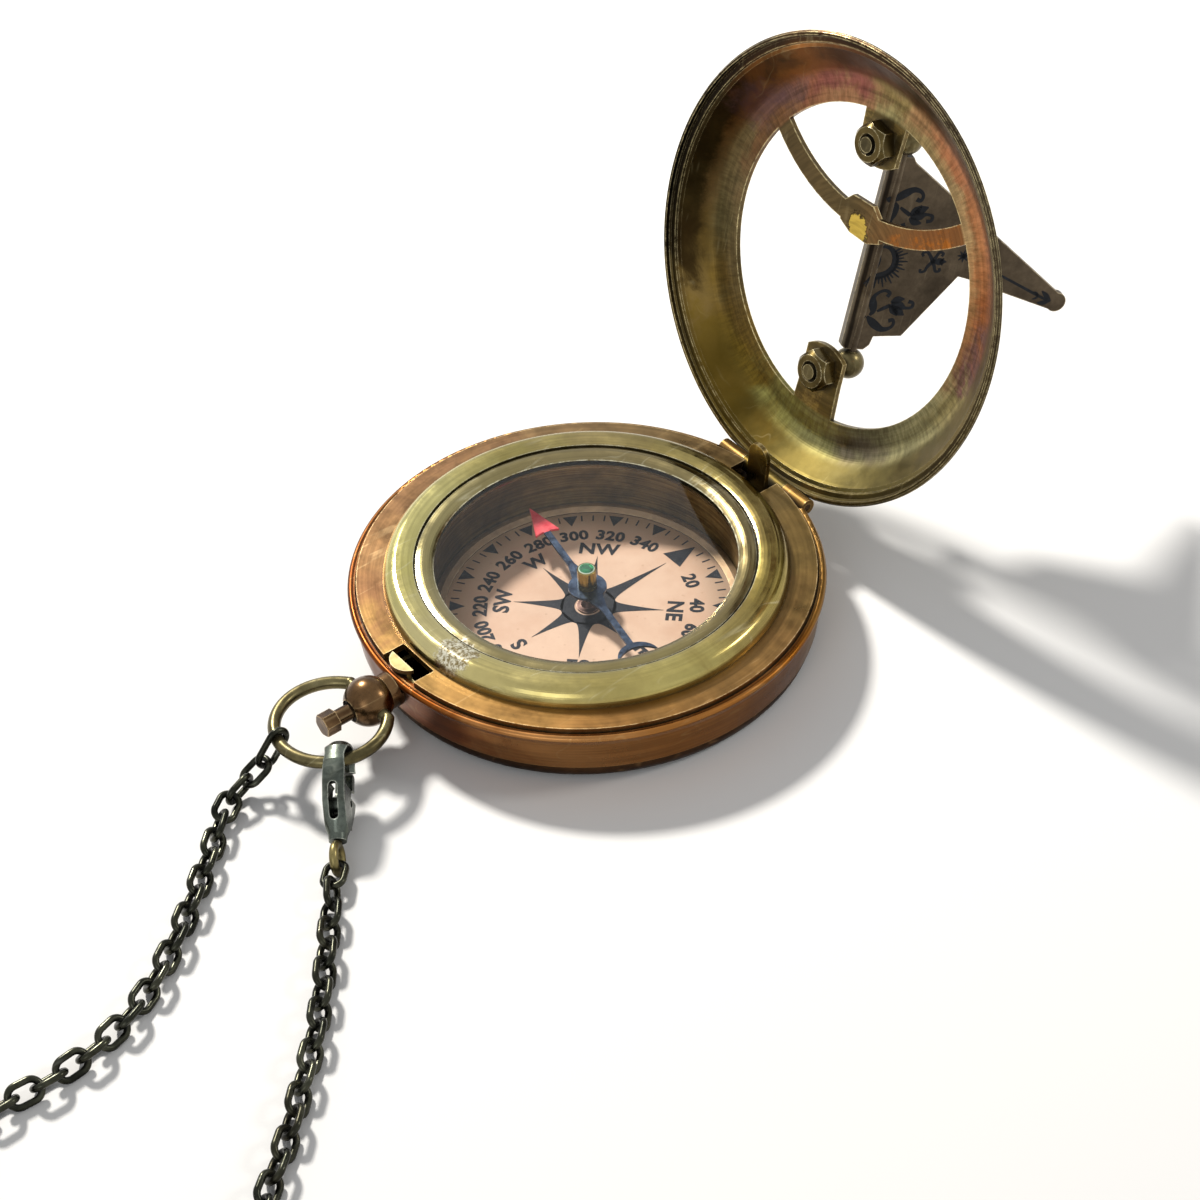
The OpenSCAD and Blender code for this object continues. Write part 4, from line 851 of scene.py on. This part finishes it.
def makeNeedleSteel():
    # blued steel, with red paint past a line across the arrow
    look = needleLook
    material, tree, shader, own = newMaterial("blueSteel")
    angle = math.radians(look["bearing"])
    reach = vectorMath(tree, "DOT_PRODUCT", own, (math.sin(angle), math.cos(angle), 0.0))
    aside = vectorMath(tree, "DOT_PRODUCT", own, (math.cos(angle), -math.sin(angle), 0.0))
    grain = noise(tree, own, *look["grainNoise"])
    fine = smoothStep(tree, grain, *look["fineRange"])
    steel = mixColour(tree, fine, look["blue"], look["blueWorn"])
    paint = mixColour(tree, fine, look["red"], look["redWorn"])
    barbs = product(tree, smoothStep(tree, mathNode(tree, "ABSOLUTE", aside), *look["barbSide"]),
                    smoothStep(tree, reach, *look["barbFrom"]))
    painted = mathNode(tree, "MAXIMUM", smoothStep(tree, reach, *look["redFrom"]), barbs)
    metallic = less(tree, look["metallic"], product(tree, painted, look["metallic"]))
    setInputs(tree, shader, {
        "Base Color": mixColour(tree, painted, steel, paint), "Metallic": metallic,
        "Roughness": smoothStep(tree, grain, *look["roughRange"], look["roughness"])})
    return material


dress(makeGlass(), "glass")
dress(makeJewel(), "needle_jewel")
dress(makeDialPaper(), "dial_plate")
dress(makeNeedleSteel(), "needle")
inkBlack = makeInk("dialInk", linear(20, 24, 32), linear(46, 46, 50))
inkEngraved = makeInk("engravedBlack", linear(12, 16, 22), linear(34, 38, 44))


# Printed and engraved flat marks

def makeMarks(name, vertices, faces, body, material):
    # points in mm and their faces, as a piece that rides with the solid it lies on
    mesh = bpy.data.meshes.new(name)
    mesh.from_pydata((np.array(vertices) * mm).tolist(), [], faces)
    mesh.validate()
    mesh.materials.append(material)
    piece = bpy.data.objects.new(name, mesh)
    bpy.context.scene.collection.objects.link(piece)
    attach(piece, body)


def flatTiles(outlines, lift, thickness):
    # each outline is a closed line in the plane, made a thin tile between two heights
    layers = []
    faces = []
    first = 0
    for outline in outlines:
        outline = np.asarray(outline, float)
        x, y = outline.T
        if np.sum(x * np.roll(y, -1) - np.roll(x, -1) * y) < 0:
            outline = outline[::-1]
        count = len(outline)
        layers += [np.column_stack([outline, np.full(count, height)]) for height in (lift, lift + thickness)]
        low = np.arange(first, first + count)
        high = low + count
        sides = np.column_stack([low, np.roll(low, -1), np.roll(high, -1), high])
        faces += [high.tolist(), low[::-1].tolist(), *sides.tolist()]
        first += 2 * count
    return np.vstack(layers), faces


def around(points, bearing):
    # turns a drawing that points along +Y to a compass bearing
    c, s = math.cos(math.radians(bearing)), math.sin(math.radians(bearing))
    x, y = np.asarray(points, float).T
    return np.column_stack([x * c + y * s, y * c - x * s])


def ringTiles(inner, outer, count):
    # a ring as a run of four-cornered tiles
    angles = np.linspace(0, 2 * math.pi, count + 1)
    unit = np.column_stack([np.cos(angles), np.sin(angles)])
    near, far = unit * inner, unit * outer
    return list(np.stack([near[:-1], far[:-1], far[1:], near[1:]], 1))


dialPrint = {
    "top": 2.5, "lift": 0.01, "thickness": 0.03,
    "hubInner": 2.25, "hubOuter": 4.5, "hubTiles": 64,
    "tips": [16.0, 12.1, 12.0, 12.1, 11.4, 12.1, 12.0, 12.1],
    "root": 1.15, "spikeSink": 0.5, "spikeLeast": 0.02, "spikeRows": 14, "spikeCurve": 1.35,
    "spikeShare": (0.78, 0.22), "flare": 0.45, "flareFall": 14,
    "tickStep": 5, "tickOuter": 22.4, "tickInner": 21.0, "tickHalf": 0.13,
    "wedgeStep": 20, "wedgeInner": 19.9, "wedgeHalf": 1.25,
    "northBase": 17.2, "northTip": 22.2, "northHalf": 2.15,
    "letterRadius": 13.8, "letterSize": 3.6, "numberRadius": 17.3, "numberSize": 3.1, "weight": 0.12,
    "letterSpace": 1.05, "letterSteps": 3,
}


def spike(tip):
    # half-width falls from the root to nothing at the tip, faster at first than a straight taper
    look = dialPrint
    along = np.linspace(0, 1, look["spikeRows"])
    curved, straight = look["spikeShare"]
    foot = look["hubOuter"] - look["spikeSink"]
    reach = foot + (tip - foot) * along
    taper = (1 - along) ** look["spikeCurve"] * curved + (1 - along) * straight
    half = look["root"] * taper + look["spikeLeast"]
    half = half + look["flare"] * np.exp(-along * look["flareFall"])
    return np.vstack([np.column_stack([-half, reach]), np.column_stack([half, reach])[::-1]])


def makeDialPrint():
    # the star round its hub, a tick every 5 degrees, a wedge every 20 and the large north mark
    look = dialPrint
    outlines = ringTiles(look["hubInner"], look["hubOuter"], look["hubTiles"])
    for k, tip in enumerate(look["tips"]):
        outlines.append(around(spike(tip), 45 * k))
    half, inner, outer = look["tickHalf"], look["tickInner"], look["tickOuter"]
    tick = [(-half, inner), (half, inner), (half, outer), (-half, outer)]
    wedge = [(-look["wedgeHalf"], outer), (0, look["wedgeInner"]), (look["wedgeHalf"], outer)]
    for bearing in range(look["tickStep"], 360, look["tickStep"]):
        outlines.append(around(tick if bearing % look["wedgeStep"] else wedge, bearing))
    base, half = look["northBase"], look["northHalf"]
    outlines.append([(-half, base), (half, base), (0, look["northTip"])])
    vertices, faces = flatTiles(outlines, look["top"] + look["lift"], look["thickness"])
    makeMarks("dialPrint", vertices, faces, "case", inkBlack)


def letterMesh(label, size):
    # one word in the plain built-in face, as points and faces
    data = bpy.data.curves.new("letters", "FONT")
    data.body = label
    data.size = size
    data.align_x = "CENTER"
    data.align_y = "CENTER"
    data.offset = dialPrint["weight"]
    data.extrude = dialPrint["thickness"] / 2
    data.resolution_u = dialPrint["letterSteps"]
    data.space_character = dialPrint["letterSpace"]
    text = bpy.data.objects.new("letters", data)
    bpy.context.scene.collection.objects.link(text)
    bpy.context.view_layer.update()
    made = bpy.data.meshes.new_from_object(text)
    points = np.zeros(len(made.vertices) * 3)
    made.vertices.foreach_get("co", points)
    faces = [list(polygon.vertices) for polygon in made.polygons]
    bpy.data.objects.remove(text)
    bpy.data.meshes.remove(made)
    bpy.data.curves.remove(data)
    return points.reshape(-1, 3), faces


def makeDialText():
    # letters and numbers with their tops outward, joined in one mesh
    look = dialPrint
    words = [(label, look["letterRadius"], look["letterSize"], 45 * k)
             for k, label in enumerate(["N", "NE", "E", "SE", "S", "SW", "W", "NW"]) if k]
    words += [(str(bearing), look["numberRadius"], look["numberSize"], bearing)
              for bearing in range(look["wedgeStep"], 360, look["wedgeStep"])]
    vertices = []
    faces = []
    for label, radius, size, bearing in words:
        points, polygons = letterMesh(label, size)
        first = len(vertices)
        heights = points[:, 2] + look["top"] + look["lift"] + look["thickness"] / 2
        flat = around(points[:, :2] + [0, radius], bearing)
        vertices.extend(np.column_stack([flat, heights]).tolist())
        faces.extend([[first + index for index in polygon] for polygon in polygons])
    makeMarks("dialLetters", vertices, faces, "case", inkBlack)


makeDialPrint()
makeDialText()
print("dial printed")


# Ornament engraved on the gnomon plate, in its own coordinates: along the pivot to the bow side, and away
# from the pivot, in mm

engraved = {
    "face": 0.65, "lift": 0.005, "thickness": 0.02, "weight": 1.4, "steps": 5,
    # each stroke is a list of (along, away, width)
    "scroll": [
        [(9.5, 0.1, 0.3), (10.3, 1.0, 0.9), (11.0, 1.9, 1.0), (11.7, 3.2, 0.7), (11.4, 4.5, 0.45),
         (10.6, 5.0, 0.4), (9.9, 4.7, 0.45), (10.1, 4.0, 0.55)],
        [(9.3, 0.5, 0.3), (8.5, 0.9, 0.7), (7.3, 0.6, 1.0), (6.1, 0.4, 0.6), (5.2, 1.0, 0.4),
         (4.7, 2.1, 0.4), (5.1, 3.0, 0.45), (5.8, 2.7, 0.5)],
        [(10.1, -0.9, 0.5), (9.7, -0.6, 0.6), (9.4, -0.2, 0.3)],
        [(8.5, 1.6, 0.3), (8.0, 2.4, 0.45), (7.3, 3.6, 0.5)],
        [(7.2, 3.5, 0.3), (8.1, 4.4, 1.0), (9.1, 5.2, 0.15)],
        [(7.3, 3.8, 0.3), (8.3, 5.3, 1.0), (8.9, 6.4, 0.15)],
        [(6.9, 3.8, 0.3), (7.2, 5.2, 1.0), (7.6, 6.3, 0.4), (7.4, 7.4, 0.4), (6.6, 7.4, 0.4),
         (6.4, 6.6, 0.5)],
        [(6.8, 3.6, 0.3), (6.2, 4.6, 0.9), (6.0, 5.8, 0.2)]],
    "mirror": -1.5, "mirrorAway": 0.7,
    "sun": [
        [(1.4, -0.3, 0.3), (0.2, 0.2, 0.25), (-1.2, 0.5, 0.25), (-3.4, -0.1, 0.25), (-5.3, -1.2, 0.2)],
        [(1.4, -0.2, 0.3), (1.5, 1.2, 0.4), (0.9, 2.3, 0.6), (-0.4, 3.1, 0.8), (-1.9, 3.1, 0.85),
         (-3.1, 2.2, 0.8), (-3.8, 0.7, 0.8), (-4.4, -0.4, 0.4)]],
    "sunCentre": (-1.1, 0.5), "rays": 17, "rayTurn": (50.0, 196.0), "rayFrom": 2.8, "rayTo": (4.1, 4.8),
    "rayWidth": (0.34, 0.14),
    "blossom": [
        [(-0.5, 9.6, 0.5), (0.5, 8.9, 0.4), (1.1, 8.2, 0.35), (0.8, 7.5, 0.3), (0.3, 7.8, 0.35)],
        [(-0.5, 9.6, 0.5), (-1.5, 8.9, 0.4), (-2.3, 8.6, 0.35), (-2.5, 7.9, 0.3), (-2.0, 7.8, 0.35)],
        [(-0.5, 9.6, 0.5), (0.4, 10.0, 0.4), (1.2, 10.4, 0.35), (1.0, 11.1, 0.3), (0.5, 10.9, 0.35)],
        [(-0.5, 9.6, 0.5), (-1.4, 10.1, 0.4), (-2.2, 10.5, 0.35), (-2.1, 11.2, 0.3), (-1.6, 11.0, 0.35)],
        [(-0.5, 9.7, 0.3), (-0.45, 10.8, 0.9), (-0.4, 12.0, 0.1)],
        [(0.2, 11.4, 0.1), (-0.45, 11.1, 0.5), (-1.1, 11.4, 0.1)]],
    "starPlace": (0.8, 14.7), "starReach": 1.1, "starWidth": (0.1, 0.4),
    "arrow": [
        [(-0.9, 19.0, 0.25), (-3.2, 24.5, 0.32), (-5.5, 30.0, 0.35), (-6.1, 31.6, 0.3)],
        [(-6.2, 32.2, 0.2), (-5.3, 31.2, 0.6), (-4.5, 30.2, 0.15)],
        [(-6.2, 32.2, 0.2), (-6.6, 31.0, 0.6), (-6.7, 29.9, 0.15)],
        [(-5.3, 29.7, 0.3), (-4.9, 29.2, 0.3), (-4.8, 28.6, 0.1)],
        [(-5.4, 29.8, 0.3), (-5.9, 29.4, 0.3), (-6.1, 28.8, 0.1)]],
}


def brushTiles(stroke):
    # a smooth line through the given points with a width that follows it, cut into four-cornered tiles
    points = np.asarray(stroke, float)
    ends = np.vstack([2 * points[0] - points[1], points, 2 * points[-1] - points[-2]])
    t = np.linspace(0, 1, engraved["steps"], endpoint=False)[:, None]
    runs = [0.5 * (2 * b + (c - a) * t + (2 * a - 5 * b + 4 * c - d) * t ** 2
                   + (3 * b - a - 3 * c + d) * t ** 3)
            for a, b, c, d in zip(ends, ends[1:], ends[2:], ends[3:])]
    line = np.vstack(runs + [points[-1:]])
    way = np.gradient(line[:, :2], axis=0)
    way /= np.linalg.norm(way, axis=1)[:, None]
    aside = np.column_stack([-way[:, 1], way[:, 0]]) * line[:, 2:] * engraved["weight"] / 2
    left, right = line[:, :2] + aside, line[:, :2] - aside
    return list(np.stack([left[:-1], right[:-1], right[1:], left[1:]], 1))


def makeEngravings():
    # the scroll twice, the half sun with its rays, the blossom, the small star and the arrow
    look = engraved
    strokes = list(look["scroll"])
    for stroke in look["scroll"]:
        strokes.append([(look["mirror"] - along, away + look["mirrorAway"], width)
                        for along, away, width in stroke])
    strokes += look["sun"] + look["blossom"] + look["arrow"]
    middle = np.array(look["sunCentre"])
    for k, turn in enumerate(np.radians(np.linspace(*look["rayTurn"], look["rays"]))):
        way = np.array([math.cos(turn), math.sin(turn)])
        ends = [middle + way * look["rayFrom"], middle + way * look["rayTo"][(k + 1) % 2]]
        strokes.append([(*end, width) for end, width in zip(ends, look["rayWidth"])])
    thin, wide = look["starWidth"]
    for turn in np.radians(np.arange(0, 180, 45)):
        way = np.array([math.cos(turn), math.sin(turn)]) * look["starReach"]
        strokes.append([(*(look["starPlace"] - way), thin), (*look["starPlace"], wide),
                        (*(look["starPlace"] + way), thin)])
    outlines = [tile * [-1, 1] for stroke in strokes for tile in brushTiles(stroke)]
    vertices, faces = flatTiles(outlines, look["face"] + look["lift"], look["thickness"])
    placed = fromGnomon(vertices * [-1, 1, -1])
    makeMarks("gnomonEngraving", placed, faces, "gnomon_body", inkEngraved)


makeEngravings()
print("engravings made")
